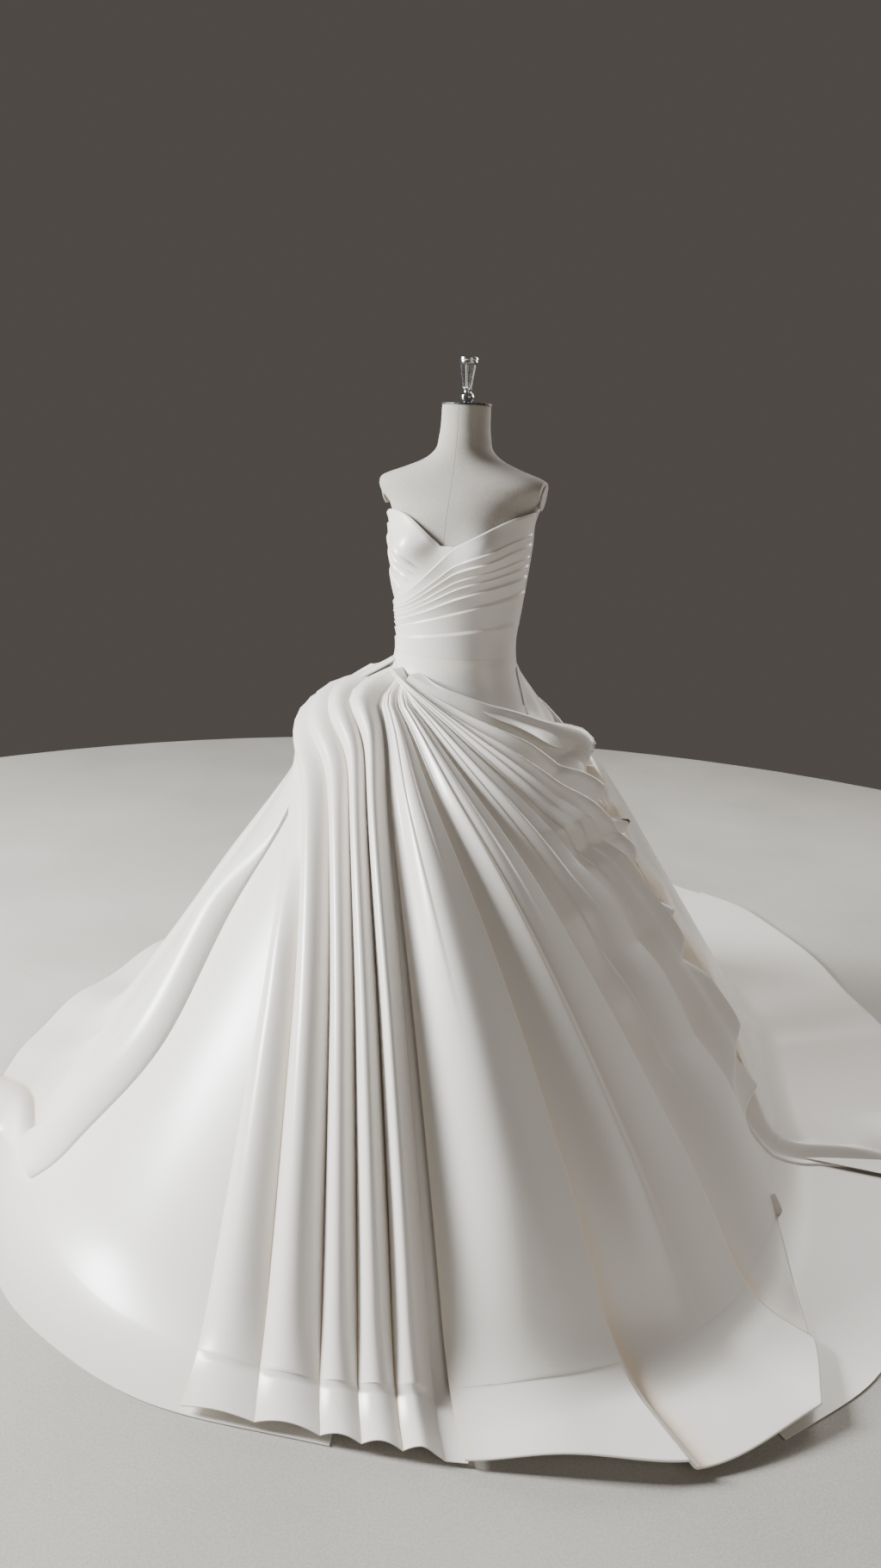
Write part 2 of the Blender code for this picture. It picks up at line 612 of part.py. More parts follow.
def build_torso(linen, home):
    """The form's linen body: rings of the body's sections, closed flat at the neck and
    under the hips, with a flat cut at each armhole."""
    levels = np.concatenate([np.linspace(FORM_BOTTOM, 1.32, 13), np.linspace(1.345, NECK_TOP, 13)])
    columns = 26
    heading = np.arange(columns) * 360 / columns
    rings = body_point(heading[None, :], levels[:, None], 0.0)
    index = np.arange(len(levels) * columns).reshape(len(levels), columns)
    turned = np.roll(index, -1, axis=1)
    quads = np.stack([index[:-1], turned[:-1], turned[1:], index[1:]], -1).reshape(-1, 4).tolist()
    mesh = bpy.data.meshes.new("form_torso")
    mesh.from_pydata(rings.reshape(-1, 3).tolist(), [], quads + [index[0, ::-1].tolist(), index[-1].tolist()])
    work = bmesh.new()
    work.from_mesh(mesh)
    for side in (-1, 1):
        everything = work.verts[:] + work.edges[:] + work.faces[:]
        normal = (side * math.cos(ARM_CUT_TILT), 0, -math.sin(ARM_CUT_TILT))
        cut = bmesh.ops.bisect_plane(
            work, geom=everything, plane_co=(side * ARM_CUT_X, 0, ARM_CUT_Z), plane_no=normal, clear_outer=True
        )
        rim = [e for e in cut["geom_cut"] if isinstance(e, bmesh.types.BMEdge)]
        bmesh.ops.edgeloop_fill(work, edges=rim)
    bmesh.ops.recalc_face_normals(work, faces=work.faces)
    work.to_mesh(mesh)
    work.free()
    mesh.shade_smooth()
    mesh.set_sharp_from_angle(angle=math.radians(40))
    add_object("form_torso", mesh, linen, home)


def build_arm_plates(linen, home):
    for name, side in (("form_arm_plate_right", -1), ("form_arm_plate_left", 1)):
        bpy.ops.mesh.primitive_cylinder_add(vertices=32, radius=1, depth=ARM_PLATE)
        plate = bpy.context.object
        plate.name = name
        plate.data.name = name
        plate.data.transform(Matrix.Diagonal((*ARM_PLATE_RADII, 1, 1)))
        plate.rotation_euler = (0, side * (math.pi / 2 + ARM_CUT_TILT), 0)
        gap = ARM_PLATE / 2 + SEAM
        along = (side * math.cos(ARM_CUT_TILT), 0, -math.sin(ARM_CUT_TILT))
        plate.location = (side * ARM_CUT_X + along[0] * gap, 0.004, ARM_CUT_Z + along[2] * gap)
        plate.data.materials.append(linen)
        move_to(plate, home)


def move_to(thing, home):
    for old in list(thing.users_collection):
        old.objects.unlink(thing)
    home.objects.link(thing)


def add_turned(name, profile, steps, finish, home):
    """Turned piece: its profile, from the axis at the top to the axis below, swept round."""
    mesh = bpy.data.meshes.new(name)
    mesh.from_pydata([(r, 0, z) for r, z in profile], [(k, k + 1) for k in range(len(profile) - 1)], [])
    thing = add_object(name, mesh, finish, home)
    turn = thing.modifiers.new("turn", "SCREW")
    turn.steps = steps
    turn.render_steps = steps
    turn.use_merge_vertices = True
    turn.merge_threshold = 0.00005
    return thing


def build_stand(chrome, black, home):
    """Neck cap, finial, pole and base plate."""
    low = NECK_TOP + SEAM
    add_turned("form_neck_cap", (
        (0, low + CAP_THICK), (CAP_RADIUS - 0.001, low + CAP_THICK), (CAP_RADIUS, low + CAP_THICK - 0.001),
        (CAP_RADIUS, low), (0, low)), 28, black, home)
    foot = low + CAP_THICK + SEAM
    top = foot + FINIAL_HEIGHT
    add_turned("form_finial", (
        (0, top), (0.0165, top - 0.0005), (0.0190, top - 0.0025), (0.0190, top - 0.0055), (0.0180, top - 0.0075),
        (0.0184, top - 0.010), (0.0112, foot + 0.040), (0.0088, foot + 0.0255), (0.0078, foot + 0.023),
        (0.0100, foot + 0.020), (0.0132, foot + 0.0165), (0.0144, foot + 0.012), (0.0132, foot + 0.007),
        (0.0092, foot + 0.003), (0.0092, foot), (0, foot)), 16, chrome, home)
    add_turned("stand_pole", (
        (0, FORM_BOTTOM - SEAM), (POLE_RADIUS, FORM_BOTTOM - SEAM), (POLE_RADIUS, BASE_THICK + SEAM),
        (0, BASE_THICK + SEAM)), 14, chrome, home)
    add_turned("stand_base", (
        (0, BASE_THICK), (BASE_RADIUS - 0.006, BASE_THICK), (BASE_RADIUS, BASE_THICK - 0.005),
        (BASE_RADIUS, 0), (0, 0)), 32, black, home)


def main():
    clear_scene()
    home = bpy.data.collections.new("wedding_dress_on_form")
    bpy.context.scene.collection.children.link(home)
    satin = material("ivory_satin", (0.86, 0.83, 0.79), 0.38)
    linen = material("form_linen", (0.50, 0.47, 0.42), 0.85)
    chrome = material("chrome_metal", (0.72, 0.73, 0.74), 0.18, 1.0)
    black = material("black_plate", (0.04, 0.04, 0.045), 0.5)
    build_torso(linen, home)
    build_arm_plates(linen, home)
    build_stand(chrome, black, home)
    build_bodice(satin, home)
    build_front(satin, home)
    build_side(satin, home)
    build_back(satin, home)


main()
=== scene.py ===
# %% [markdown]
# A strapless satin wedding gown on a limbless dress form.
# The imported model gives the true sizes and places.  This lesson puts finely folded cloth
# over its plain walls, and gives each surface the finish of the real thing.

# %% Load the frame
import math
import bmesh
import bpy
import numpy as np
from mathutils import Matrix, Vector


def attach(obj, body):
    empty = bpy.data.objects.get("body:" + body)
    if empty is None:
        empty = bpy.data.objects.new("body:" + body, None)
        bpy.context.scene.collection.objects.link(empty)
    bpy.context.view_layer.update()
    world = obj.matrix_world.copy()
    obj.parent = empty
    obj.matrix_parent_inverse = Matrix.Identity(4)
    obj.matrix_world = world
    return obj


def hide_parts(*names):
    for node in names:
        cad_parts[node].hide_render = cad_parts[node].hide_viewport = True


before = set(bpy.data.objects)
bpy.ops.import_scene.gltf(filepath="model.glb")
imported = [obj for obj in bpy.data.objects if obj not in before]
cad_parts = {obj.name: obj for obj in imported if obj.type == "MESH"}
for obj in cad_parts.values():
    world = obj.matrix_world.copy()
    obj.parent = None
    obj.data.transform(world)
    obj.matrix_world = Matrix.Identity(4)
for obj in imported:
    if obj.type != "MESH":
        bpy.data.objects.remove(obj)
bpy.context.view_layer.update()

# %% [markdown]
# The camera stands a little to the wearer's left, 2.55 m from the form's axis and 1.45 m
# up, and looks down by 15 degrees with a slight roll.  Its axes are written as the columns
# of a matrix, which is easier to check than a chain of rotations.

# %% Place the camera
CAMERA_AWAY, CAMERA_UP = 2.55, 1.45
SENSOR_WIDTH, CAMERA_LENS = 36, 27.09
CAMERA_HEADING, CAMERA_PITCH, CAMERA_ROLL = 17, 15.3, 2.6
# The axis stands 10 pixels beside the frame's middle; the focal length is 1371 pixels.
CAMERA_TURN = math.atan(10 / 1371)


def photo_camera():
    data = bpy.data.cameras.new("camera")
    data.sensor_width = SENSOR_WIDTH
    data.lens = CAMERA_LENS
    spot, pitch, roll = (math.radians(v) for v in (CAMERA_HEADING, CAMERA_PITCH, CAMERA_ROLL))
    place = Vector((CAMERA_AWAY * math.sin(spot), -CAMERA_AWAY * math.cos(spot), CAMERA_UP))
    level = Matrix.Rotation(CAMERA_TURN, 3, "Z") @ Vector((-place.x, -place.y, 0)).normalized()
    ahead = Vector((level.x * math.cos(pitch), level.y * math.cos(pitch), -math.sin(pitch)))
    right = ahead.cross(Vector((0, 0, 1))).normalized()
    up = right.cross(ahead)
    side = math.cos(roll) * right + math.sin(roll) * up
    top = math.cos(roll) * up - math.sin(roll) * right
    camera = bpy.data.objects.new("camera", data)
    camera.matrix_world = Matrix([(*row, 1) if k == 3 else row for k, row in enumerate(
        [(side[i], top[i], -ahead[i], place[i]) for i in range(3)])] + [(0, 0, 0, 1)])
    bpy.context.scene.collection.objects.link(camera)
    bpy.context.scene.camera = camera
    return camera


camera = photo_camera()
print("camera at", [round(v, 2) for v in camera.matrix_world.translation])

# %% [markdown]
# Two small tools shape nearly everything here: a soft step, and a smooth curve through
# the rows of a table.

# %% Soft steps and smooth curves
def ease(low, high, value):
    """0 up to low, 1 from high on, and between them 3t^2 - 2t^3."""
    t = np.clip((np.asarray(value, float) - low) / (high - low), 0, 1)
    return t * t * (3 - 2 * t)


def bump(middle, width, value):
    """A soft hill, exp(-((value - middle) / width)^2)."""
    return np.exp(-((np.asarray(value, float) - middle) / width) ** 2)


def through(knots, rows, at):
    """Smooth curve through the rows at the knots: on each stretch a cubic, whose slopes
    at its ends are those of the chords between the neighbours."""
    knots = np.asarray(knots, float)
    slopes = np.gradient(rows, knots, axis=-1)
    i = np.clip(np.searchsorted(knots, at, side="right") - 1, 0, len(knots) - 2)
    width = knots[i + 1] - knots[i]
    t = (at - knots[i]) / width

    def take(table, index):
        if table.ndim == 1:
            return table[index]
        return np.take_along_axis(table, index[..., None], -1)[..., 0]

    return ((2 * t**3 - 3 * t**2 + 1) * take(rows, i) + (t**3 - 2 * t**2 + t) * width * take(slopes, i)
            + (3 * t**2 - 2 * t**3) * take(rows, i + 1) + (t**3 - t**2) * width * take(slopes, i + 1))


def wrap(heading):
    return (np.asarray(heading, float) + 180.0) % 360.0 - 180.0


# %% [markdown]
# The form is a stack of ellipses, with one depth to the front and one to the back, and
# two soft rises for the bust.  Headings are degrees round the form, 0 at the front and
# growing towards the wearer's left.

# %% The form's surface
WAIST_Z = 1.03
FORM_BOTTOM, NECK_TOP = 0.74, 1.562
BODY = np.array((
    (0.740, 0.150, 0.098, 0.112), (0.840, 0.170, 0.114, 0.136), (0.900, 0.163, 0.112, 0.130),
    (0.970, 0.144, 0.106, 0.110), (1.030, 0.127, 0.098, 0.092), (1.080, 0.122, 0.095, 0.084),
    (1.150, 0.130, 0.098, 0.088), (1.200, 0.136, 0.104, 0.092), (1.250, 0.142, 0.110, 0.096),
    (1.290, 0.146, 0.110, 0.097), (1.340, 0.150, 0.100, 0.095), (1.365, 0.160, 0.092, 0.094),
    (1.385, 0.180, 0.084, 0.092), (1.403, 0.192, 0.078, 0.088), (1.420, 0.172, 0.071, 0.080),
    (1.436, 0.128, 0.066, 0.072), (1.452, 0.088, 0.062, 0.065), (1.472, 0.062, 0.058, 0.059),
    (1.500, 0.054, 0.053, 0.054), (1.562, 0.050, 0.050, 0.050))).T
BUST_HEADING, BUST_Z, BUST_RISE = 36.0, 1.272, 0.024


def body_radius(heading, z):
    """1 / sqrt((sin / half_width)^2 + (cos / depth)^2), and a soft hill for each bust."""
    heading, z = np.broadcast_arrays(np.asarray(heading, float), np.asarray(z, float))
    level = np.clip(z, BODY[0, 0], BODY[0, -1])
    half_width, front, back = (through(BODY[0], BODY[k], level) for k in (1, 2, 3))
    angle = np.radians(heading)
    depth = np.where(np.cos(angle) > 0, front, back)
    radius = 1 / np.sqrt((np.sin(angle) / half_width) ** 2 + (np.cos(angle) / depth) ** 2)
    sides = bump(0, 20, wrap(heading - BUST_HEADING)) + bump(0, 20, wrap(heading + BUST_HEADING))
    return radius + BUST_RISE * sides * bump(BUST_Z, 0.042, z)


def polar(heading, radius, z):
    """x = r sin(heading), y = -r cos(heading)."""
    angle = np.radians(heading)
    return np.stack(np.broadcast_arrays(radius * np.sin(angle), -radius * np.cos(angle), z), -1)


def body_point(heading, z, out):
    return polar(heading, body_radius(heading, z) + out, z)


print("waist", round(float(body_radius(90, WAIST_Z)) * 2, 3), "m wide")

# %% [markdown]
# Every panel of the skirt lies on one bell.  A heading and a drop place a point on it:
# drop 0 is the waist, 1 the floor line and 2 the hem of what lies on the floor.  Along the
# hem the cloth runs a little in and out, as satin does where it is let fall.

# %% The bell of the skirt
SKIRT_CLEAR, LAYER, HIP_LAYER = 0.0108, 0.0065, 0.015
FLOOR_BEND, FLOOR_SLOPE, CLOTH_LIFT, HEM_DEPTH = 0.10, 1.12, 0.0008, 0.10
HEM = 2.0
BELL_DROPS = (0.0, 0.097, 0.223, 0.563, 1.0)
# heading, then the radius at the hip, thigh, knee, floor line and hem
BELL = np.array((
    (-165, 0.240, 0.360, 0.620, 1.04, 1.60), (-135, 0.255, 0.360, 0.600, 0.98, 1.28),
    (-105, 0.265, 0.345, 0.570, 0.90, 1.07), (-73, 0.285, 0.330, 0.540, 0.85, 1.02),
    (-45, 0.270, 0.350, 0.590, 0.93, 1.04), (-15, 0.215, 0.345, 0.640, 1.00, 1.11),
    (15, 0.190, 0.335, 0.650, 1.00, 1.11), (45, 0.185, 0.310, 0.595, 0.96, 1.20),
    (75, 0.178, 0.272, 0.510, 0.82, 1.15), (107, 0.186, 0.272, 0.510, 0.78, 1.20),
    (135, 0.215, 0.340, 0.590, 0.92, 1.33), (165, 0.235, 0.360, 0.620, 1.04, 1.68)))


def bell_point(heading, drop):
    """Radius: a smooth curve down the drop through five smooth curves round the form.
    Height: s straight down, and bend / 4 * (1 + s / bend)^2 where it turns onto the floor."""
    heading, drop = np.broadcast_arrays(np.asarray(heading, float), np.asarray(drop, float))
    around = np.concatenate([BELL[:, 0] - 360, BELL[:, 0], BELL[:, 0] + 360])
    radii = np.concatenate([BELL[:, 1:]] * 3)
    hip, thigh, knee, floor, hem = (through(around, radii[:, k], wrap(heading)) for k in range(5))
    waist = body_radius(heading, WAIST_Z) + SKIRT_CLEAR
    rows = np.stack([waist, hip, thigh, knee, floor], -1)
    radius = through(BELL_DROPS, rows, np.clip(drop, 0, 1))
    radius = radius + (hem - floor) * np.clip(drop - 1, 0, None)
    straight = np.where(drop < 1, WAIST_Z * (1 - drop), FLOOR_SLOPE * (hem - floor) * (1 - drop))
    turned = FLOOR_BEND / 4 * (1 + np.maximum(straight / FLOOR_BEND, -1)) ** 2
    z = np.where(straight > FLOOR_BEND, straight, turned) + CLOTH_LIFT
    radius = np.maximum(radius, body_radius(heading, z) * (z > FORM_BOTTOM) + SKIRT_CLEAR)
    return polar(heading, radius, z)


def skirt_point(heading, drop, out, lift=0.0, slide=0.0):
    """The bell's point, moved out along its normal, along its rim, and straight up."""
    here = bell_point(heading, drop)
    across = bell_point(heading + 0.4, drop) - bell_point(heading - 0.4, drop)
    down = bell_point(heading, drop + 0.004) - bell_point(heading, np.maximum(drop - 0.004, 0))
    normal = np.cross(down, across)
    normal /= np.linalg.norm(normal, axis=-1, keepdims=True)
    across /= np.linalg.norm(across, axis=-1, keepdims=True)
    moved = here + normal * np.asarray(out)[..., None]
    moved = moved + across * np.broadcast_to(slide, drop.shape)[..., None]
    moved[..., 2] = np.maximum(moved[..., 2] + lift, CLOTH_LIFT)
    return moved


def hem_wave(heading, drop):
    """The drop less two slow sine waves of the heading, which grow towards the hem."""
    wave = 0.5 + 0.3 * np.sin(np.radians(heading * 17)) + 0.2 * np.sin(np.radians(heading * 7 + 40))
    return drop - HEM_DEPTH * wave * ease(1.3, HEM, drop) * (1 - ease(76, 88, heading))


def seat(points, heading, share, clear=SKIRT_CLEAR):
    """Points drawn in to the form by a share of the way, where a panel is sewn on."""
    on_body = body_point(heading, points[..., 2], clear)
    return points + (on_body - points) * share[..., None]


print("floor line at the front", round(float(-bell_point(0, 1)[1]), 2), "m from the axis")

# %% [markdown]
# Cloth is a closed thin shell: a grid of points, the same grid moved out by the wall, and
# a band round the edge.  Its UV map holds metres along the threads, so a weave keeps its
# scale, and an attribute says how deep in a fold each point lies, where the satin paints
# warm bounce light and shade.

# %% Cloth from a grid
WALL = 0.0016
CLOTH_CREASE = math.radians(62)
TURN_ROWS, UNDER_ROWS = 8, 5
GATHER_HEADING, GATHER_REACH = -68.0, 0.10
made = {}


def drops(first, end, rows):
    """Drops of a fine grid's rows, closer together where the cloth turns onto the floor."""
    ladder = np.linspace(0, HEM, 801)
    count = np.cumsum(1 + 2.5 * bump(1, 0.08, ladder))
    low, high = np.interp(first, ladder, count), np.interp(end, ladder, count)
    return np.interp(low + (high - low) * np.linspace(0, 1, rows)[:, None], count, ladder)


def grid(rows, columns):
    return np.meshgrid(np.linspace(0, 1, rows), np.linspace(0, 1, columns), indexing="ij")


def outward(points):
    """Unit normals of a grid, the cross product of its two running directions."""
    normal = np.cross(np.gradient(points, axis=0), np.gradient(points, axis=1))
    normal /= np.maximum(np.linalg.norm(normal, axis=-1, keepdims=True), 1e-12)
    away = points * (1, 1, 0) + (0, 0, 0.4)
    return normal * np.sign((normal * away).sum(-1).mean())


def lengths(points, axis):
    """Distance run along a grid from its middle, in metres."""
    step = np.linalg.norm(np.diff(points, axis=axis), axis=-1)
    pad = [(0, 0), (0, 0)]
    pad[axis] = (1, 0)
    return np.cumsum(np.pad(step, pad), axis=axis)


def fold_under(points, radius, back, sink=0.0):
    """Rows added after the last: half a round of the radius, then straight back below."""
    facing = outward(points)[-1]
    ahead = points[-1] - points[-3]
    ahead = ahead - facing * (ahead * facing).sum(-1, keepdims=True)
    ahead = ahead / np.linalg.norm(ahead, axis=-1, keepdims=True)
    size = np.broadcast_to(radius, ahead.shape[:1])[:, None]
    phi = np.linspace(0, math.pi, TURN_ROWS + 1)[1:, None, None]
    turn = points[-1] + ahead * size * np.sin(phi) - facing * size * (1 - np.cos(phi))
    share = np.linspace(0, 1, UNDER_ROWS + 1)[1:, None, None]
    length, fall = (np.broadcast_to(v, ahead.shape[:1])[:, None] for v in (back, sink))
    under = turn[-1] - ahead * length * share - facing * fall * share**2
    folded = np.concatenate([points, turn, under])
    folded[..., 2] = np.maximum(folded[..., 2], CLOTH_LIFT)
    return folded


def longer(values):
    """A grid of values with its last row repeated, for the rows that fold_under adds."""
    return np.concatenate([values, np.repeat(values[-1:], TURN_ROWS + UNDER_ROWS, axis=0)])


def put_mesh(name, vertices, faces):
    mesh = bpy.data.meshes.new(name)
    mesh.from_pydata(vertices.tolist(), [], faces.tolist())
    mesh.update()
    mesh.shade_smooth()
    thing = bpy.data.objects.new(name, mesh)
    bpy.context.scene.collection.objects.link(thing)
    return thing


def cloth(name, points, finish, depth=None, thick=None):
    """A closed shell: the quads of the grid, of the moved grid, and of the band."""
    rows, columns, _ = points.shape
    count = rows * columns
    facing = outward(points)
    running = np.cross(np.gradient(points, axis=0), np.gradient(points, axis=1))
    flip = (running * facing).sum(-1).mean() < 0
    outer = points + facing * (WALL if thick is None else thick[..., None])
    index = np.arange(count).reshape(rows, columns)
    quads = np.stack([index[:-1, :-1], index[1:, :-1], index[1:, 1:], index[:-1, 1:]], -1)
    quads = quads.reshape(-1, 4)
    loop = np.concatenate([index[0, :-1], index[:-1, -1], index[-1, :0:-1], index[:0:-1, 0]])
    after = np.roll(loop, -1)
    band = np.stack([after, after + count, loop + count, loop], -1)
    faces = np.concatenate([quads[:, ::-1], quads + count, band])
    faces = faces[:, ::-1] if flip else faces
    thing = put_mesh(name, np.concatenate([points.reshape(-1, 3), outer.reshape(-1, 3)]), faces)
    thing.data.set_sharp_from_angle(angle=CLOTH_CREASE)
    flat = np.stack([lengths(points, 1), lengths(points, 0)], -1).reshape(-1, 2)
    corner = np.empty(len(thing.data.loops), np.int32)
    thing.data.loops.foreach_get("vertex_index", corner)
    thing.data.uv_layers.new(name="threads").data.foreach_set("uv", flat[corner % count].ravel())
    # depth is where the satin paints warm bounce light and shade into its colour
    level = np.zeros(points.shape[:2]) if depth is None else np.broadcast_to(depth, points.shape[:2])
    painted_fold_light = thing.data.attributes.new("fold", "FLOAT", "POINT")
    painted_fold_light.data.foreach_set("value", np.tile(level.ravel(), 2).astype(np.float32))
    thing.data.materials.append(finish)
    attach(thing, "root")
    first = points[:-1, :-1]
    patches = np.cross(points[1:, :-1] - first, points[:-1, 1:] - first)
    made[name] = float(np.linalg.norm(patches, axis=-1).sum())
    print(name, len(faces) * 2, "triangles,", round(made[name], 2), "square metres")
    return thing


# %% [markdown]
# Shader maths reads best as maths.  This class wraps one socket: + - * / add Math nodes,
# and node() adds any other node from its type, its settings and its sockets.

# %% Shader maths
class Socket:
    def __init__(self, tree, out=None):
        self.tree = tree
        self.out = out

    def node(self, kind, settings=None, sockets=None, pick=0):
        new = self.tree.nodes.new(kind)
        for key, value in (settings or {}).items():
            setattr(new, key, value)
        for key, value in (sockets or {}).items():
            if isinstance(value, Socket):
                self.tree.links.new(value.out, new.inputs[key])
            else:
                new.inputs[key].default_value = value
        return Socket(self.tree, new.outputs[pick])

    def math(self, operation, *values):
        return self.node("ShaderNodeMath", {"operation": operation}, dict(enumerate(values)))

    def __add__(self, other):
        return self.math("ADD", self, other)

    def __radd__(self, other):
        return self.math("ADD", other, self)

    def __sub__(self, other):
        return self.math("SUBTRACT", self, other)

    def __rsub__(self, other):
        return self.math("SUBTRACT", other, self)

    def __mul__(self, other):
        return self.math("MULTIPLY", self, other)

    def __rmul__(self, other):
        return self.math("MULTIPLY", other, self)

    def mix(self, first, second):
        """First colour where this is 0, second where it is 1."""
        return self.node("ShaderNodeMix", {"data_type": "RGBA"}, {0: self, 6: first, 7: second}, pick=2)

    def step(self, low, high):
        """Soft step of this value from 0 at low to 1 at high."""
        return self.node("ShaderNodeMapRange", {"interpolation_type": "SMOOTHSTEP"},
                         {0: self, 1: low, 2: high, 3: 0.0, 4: 1.0})


def new_material(name, **constants):
    material = bpy.data.materials.new(name)
    material.use_nodes = True
    shader = material.node_tree.nodes["Principled BSDF"]
    for key, value in constants.items():
        shader.inputs[key.replace("_", " ")].default_value = value
    return material, Socket(material.node_tree), shader


def feed(shader, name, value):
    shader.id_data.links.new(value.out, shader.inputs[name])


# %% [markdown]
# Duchess satin is heavy, smooth and only half glossy: long floats on its face give a
# soft sheen, and light that bounces between two folds comes back peach.  That bounce
# light and the shade in the folds are painted: the fold attribute mixes peach into the
# colour there.  Fine stretched noise stands for the ribs of the weave.

# %% Satin, linen, chrome and black metal
def satin(name):
    material, start, shader = new_material(
        name, Sheen_Weight=0.05, Sheen_Roughness=0.4, Specular_IOR_Level=0.6)
    shader.inputs["Sheen Tint"].default_value = (1.0, 0.97, 0.93, 1.0)
    threads = start.node("ShaderNodeUVMap", {"uv_map": "threads"})
    ribs = start.node("ShaderNodeMapping", {}, {"Vector": threads, "Scale": (900, 140, 1)})
    rib = start.node("ShaderNodeTexNoise", {}, {"Vector": ribs, "Scale": 1.0, "Detail": 2.0})
    place = start.node("ShaderNodeTexCoord", {}, pick="Object")
    cloud = start.node("ShaderNodeTexNoise", {}, {"Vector": place, "Scale": 6.0, "Detail": 3.0})
    fold = start.node("ShaderNodeAttribute", {"attribute_name": "fold"}, pick="Fac")
    plain_ivory = (0.86, 0.83, 0.785, 1.0)
    painted_bounce_peach = (0.88, 0.74, 0.58, 1.0)
    # painted bounce light and shade: peach mixed into the colour where the fold attribute is high, with
    # random tone from the cloud noise
    painted_bounce_and_tone = fold * 0.8 + (cloud - 0.5) * 0.12
    feed(shader, "Base Color", painted_bounce_and_tone.step(0.0, 1.0).mix(plain_ivory, painted_bounce_peach))
    feed(shader, "Roughness", 0.25 + cloud * 0.10)
    feed(shader, "Normal", start.node("ShaderNodeBump", {}, {
        "Strength": 0.10, "Distance": 0.0004, "Height": rib}))
    return material


def linen(name):
    material, start, shader = new_material(name)
    place = start.node("ShaderNodeTexCoord", {}, pick="Object")
    cloud = start.node("ShaderNodeTexNoise", {}, {"Vector": place, "Scale": 9.0, "Detail": 4.0})
    slub = start.node("ShaderNodeMapping", {}, {"Vector": place, "Scale": (500, 500, 90)})
    thread = start.node("ShaderNodeTexNoise", {}, {"Vector": slub, "Scale": 1.0, "Detail": 2.0})
    axes = start.node("ShaderNodeSeparateXYZ", {}, {"Vector": place})
    seam = 1 - start.math("ABSOLUTE", axes).step(0.0006, 0.0016)
    weave = (0.5 * cloud + 0.5 * thread).step(0.3, 0.7)
    base = weave.mix((0.40, 0.375, 0.335, 1.0), (0.50, 0.475, 0.43, 1.0))
    feed(shader, "Base Color", (seam * 0.5).mix(base, (0.25, 0.23, 0.20, 1.0)))
    feed(shader, "Roughness", 0.82 + 0.1 * thread)
    feed(shader, "Normal", start.node("ShaderNodeBump", {}, {
        "Strength": 0.25, "Distance": 0.0006, "Height": thread - seam * 2.0}))
    return material


def metal(name, colour, low, high, metallic):
    """Metal with soft smears: roughness runs from low to high over a slow noise."""
    material, start, shader = new_material(name, Base_Color=(*colour, 1.0), Metallic=metallic)
    place = start.node("ShaderNodeTexCoord", {}, pick="Object")
    smear = start.node("ShaderNodeTexNoise", {}, {"Vector": place, "Scale": 60.0, "Detail": 4.0})
    feed(shader, "Roughness", low + smear * (high - low))
    return material


ivory = satin("ivory_satin_cloth")
cover = linen("linen_cover")
bright = metal("bright_chrome", (0.80, 0.81, 0.82), 0.08, 0.22, 1.0)
dark = metal("black_lacquer", (0.035, 0.034, 0.036), 0.35, 0.55, 0.0)
print("materials", [m.name for m in (ivory, cover, bright, dark)])

# %% [markdown]
# The form: the same ellipses on a fine grid, closed at the neck and below the hips, and
# cut flat at each armhole.  A grid would need a hole for each cut, so the cuts are made
# with a plane on the finished mesh, which is how the real form is sawn.

# %% The form's body
ARM_CUT_X, ARM_CUT_Z, ARM_CUT_TILT = 0.172, 1.385, math.radians(9)


def closed_rings(name, rings, cut=None):
    """Quads between the rings, a face over each end, then any cut, and normals outwards."""
    rows, columns, _ = rings.shape
    index = np.arange(rows * columns).reshape(rows, columns)
    turned = np.roll(index, -1, axis=1)
    quads = np.stack([index[:-1], turned[:-1], turned[1:], index[1:]], -1).reshape(-1, 4)
    thing = put_mesh(name, rings.reshape(-1, 3), quads)
    work = bmesh.new()
    work.from_mesh(thing.data)
    bmesh.ops.holes_fill(work, edges=[e for e in work.edges if e.is_boundary], sides=0)
    if cut:
        cut(work)
    bmesh.ops.recalc_face_normals(work, faces=work.faces)
    work.to_mesh(thing.data)
    work.free()
    return thing


def saw_armholes(work):
    """Cut off each arm with a tilted plane, and close the cut with one face."""
    for side in (-1, 1):
        geometry = work.verts[:] + work.edges[:] + work.faces[:]
        cut = bmesh.ops.bisect_plane(
            work, geom=geometry, plane_co=(side * ARM_CUT_X, 0, ARM_CUT_Z), clear_outer=True,
            plane_no=(side * math.cos(ARM_CUT_TILT), 0, -math.sin(ARM_CUT_TILT)))
        rim = [e for e in cut["geom_cut"] if isinstance(e, bmesh.types.BMEdge)]
        bmesh.ops.edgeloop_fill(work, edges=rim)


def form_body():
    level, turn = grid(150, 97)
    height = FORM_BOTTOM + (NECK_TOP - FORM_BOTTOM) * level[:, :-1]
    thing = closed_rings("form_body", body_point(360 * turn[:, :-1], height, 0.0), saw_armholes)
    thing.data.shade_smooth()
    thing.data.set_sharp_from_angle(angle=math.radians(40))
    thing.data.materials.append(cover)
    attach(thing, "root")
    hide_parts("form_torso")
    return thing


body = form_body()
print("form body", len(body.data.polygons), "faces")

# %% [markdown]
# The finial is turned chrome with flutes: a profile swept round, whose radius is pressed
# in where the sine of nine times the angle is small.  Its two ends stay plain.  The cap,
# pole and base are round and plain in the model already, so they only get their finish.

# %% Finial, cap, pole and base
CAP_HEIGHT, CAP_GAP = 0.004, 0.0003
CAP_TOP = NECK_TOP + CAP_GAP + CAP_HEIGHT + CAP_GAP
FLUTE_TURNS, FLUTE_DEPTH = 9, 0.11
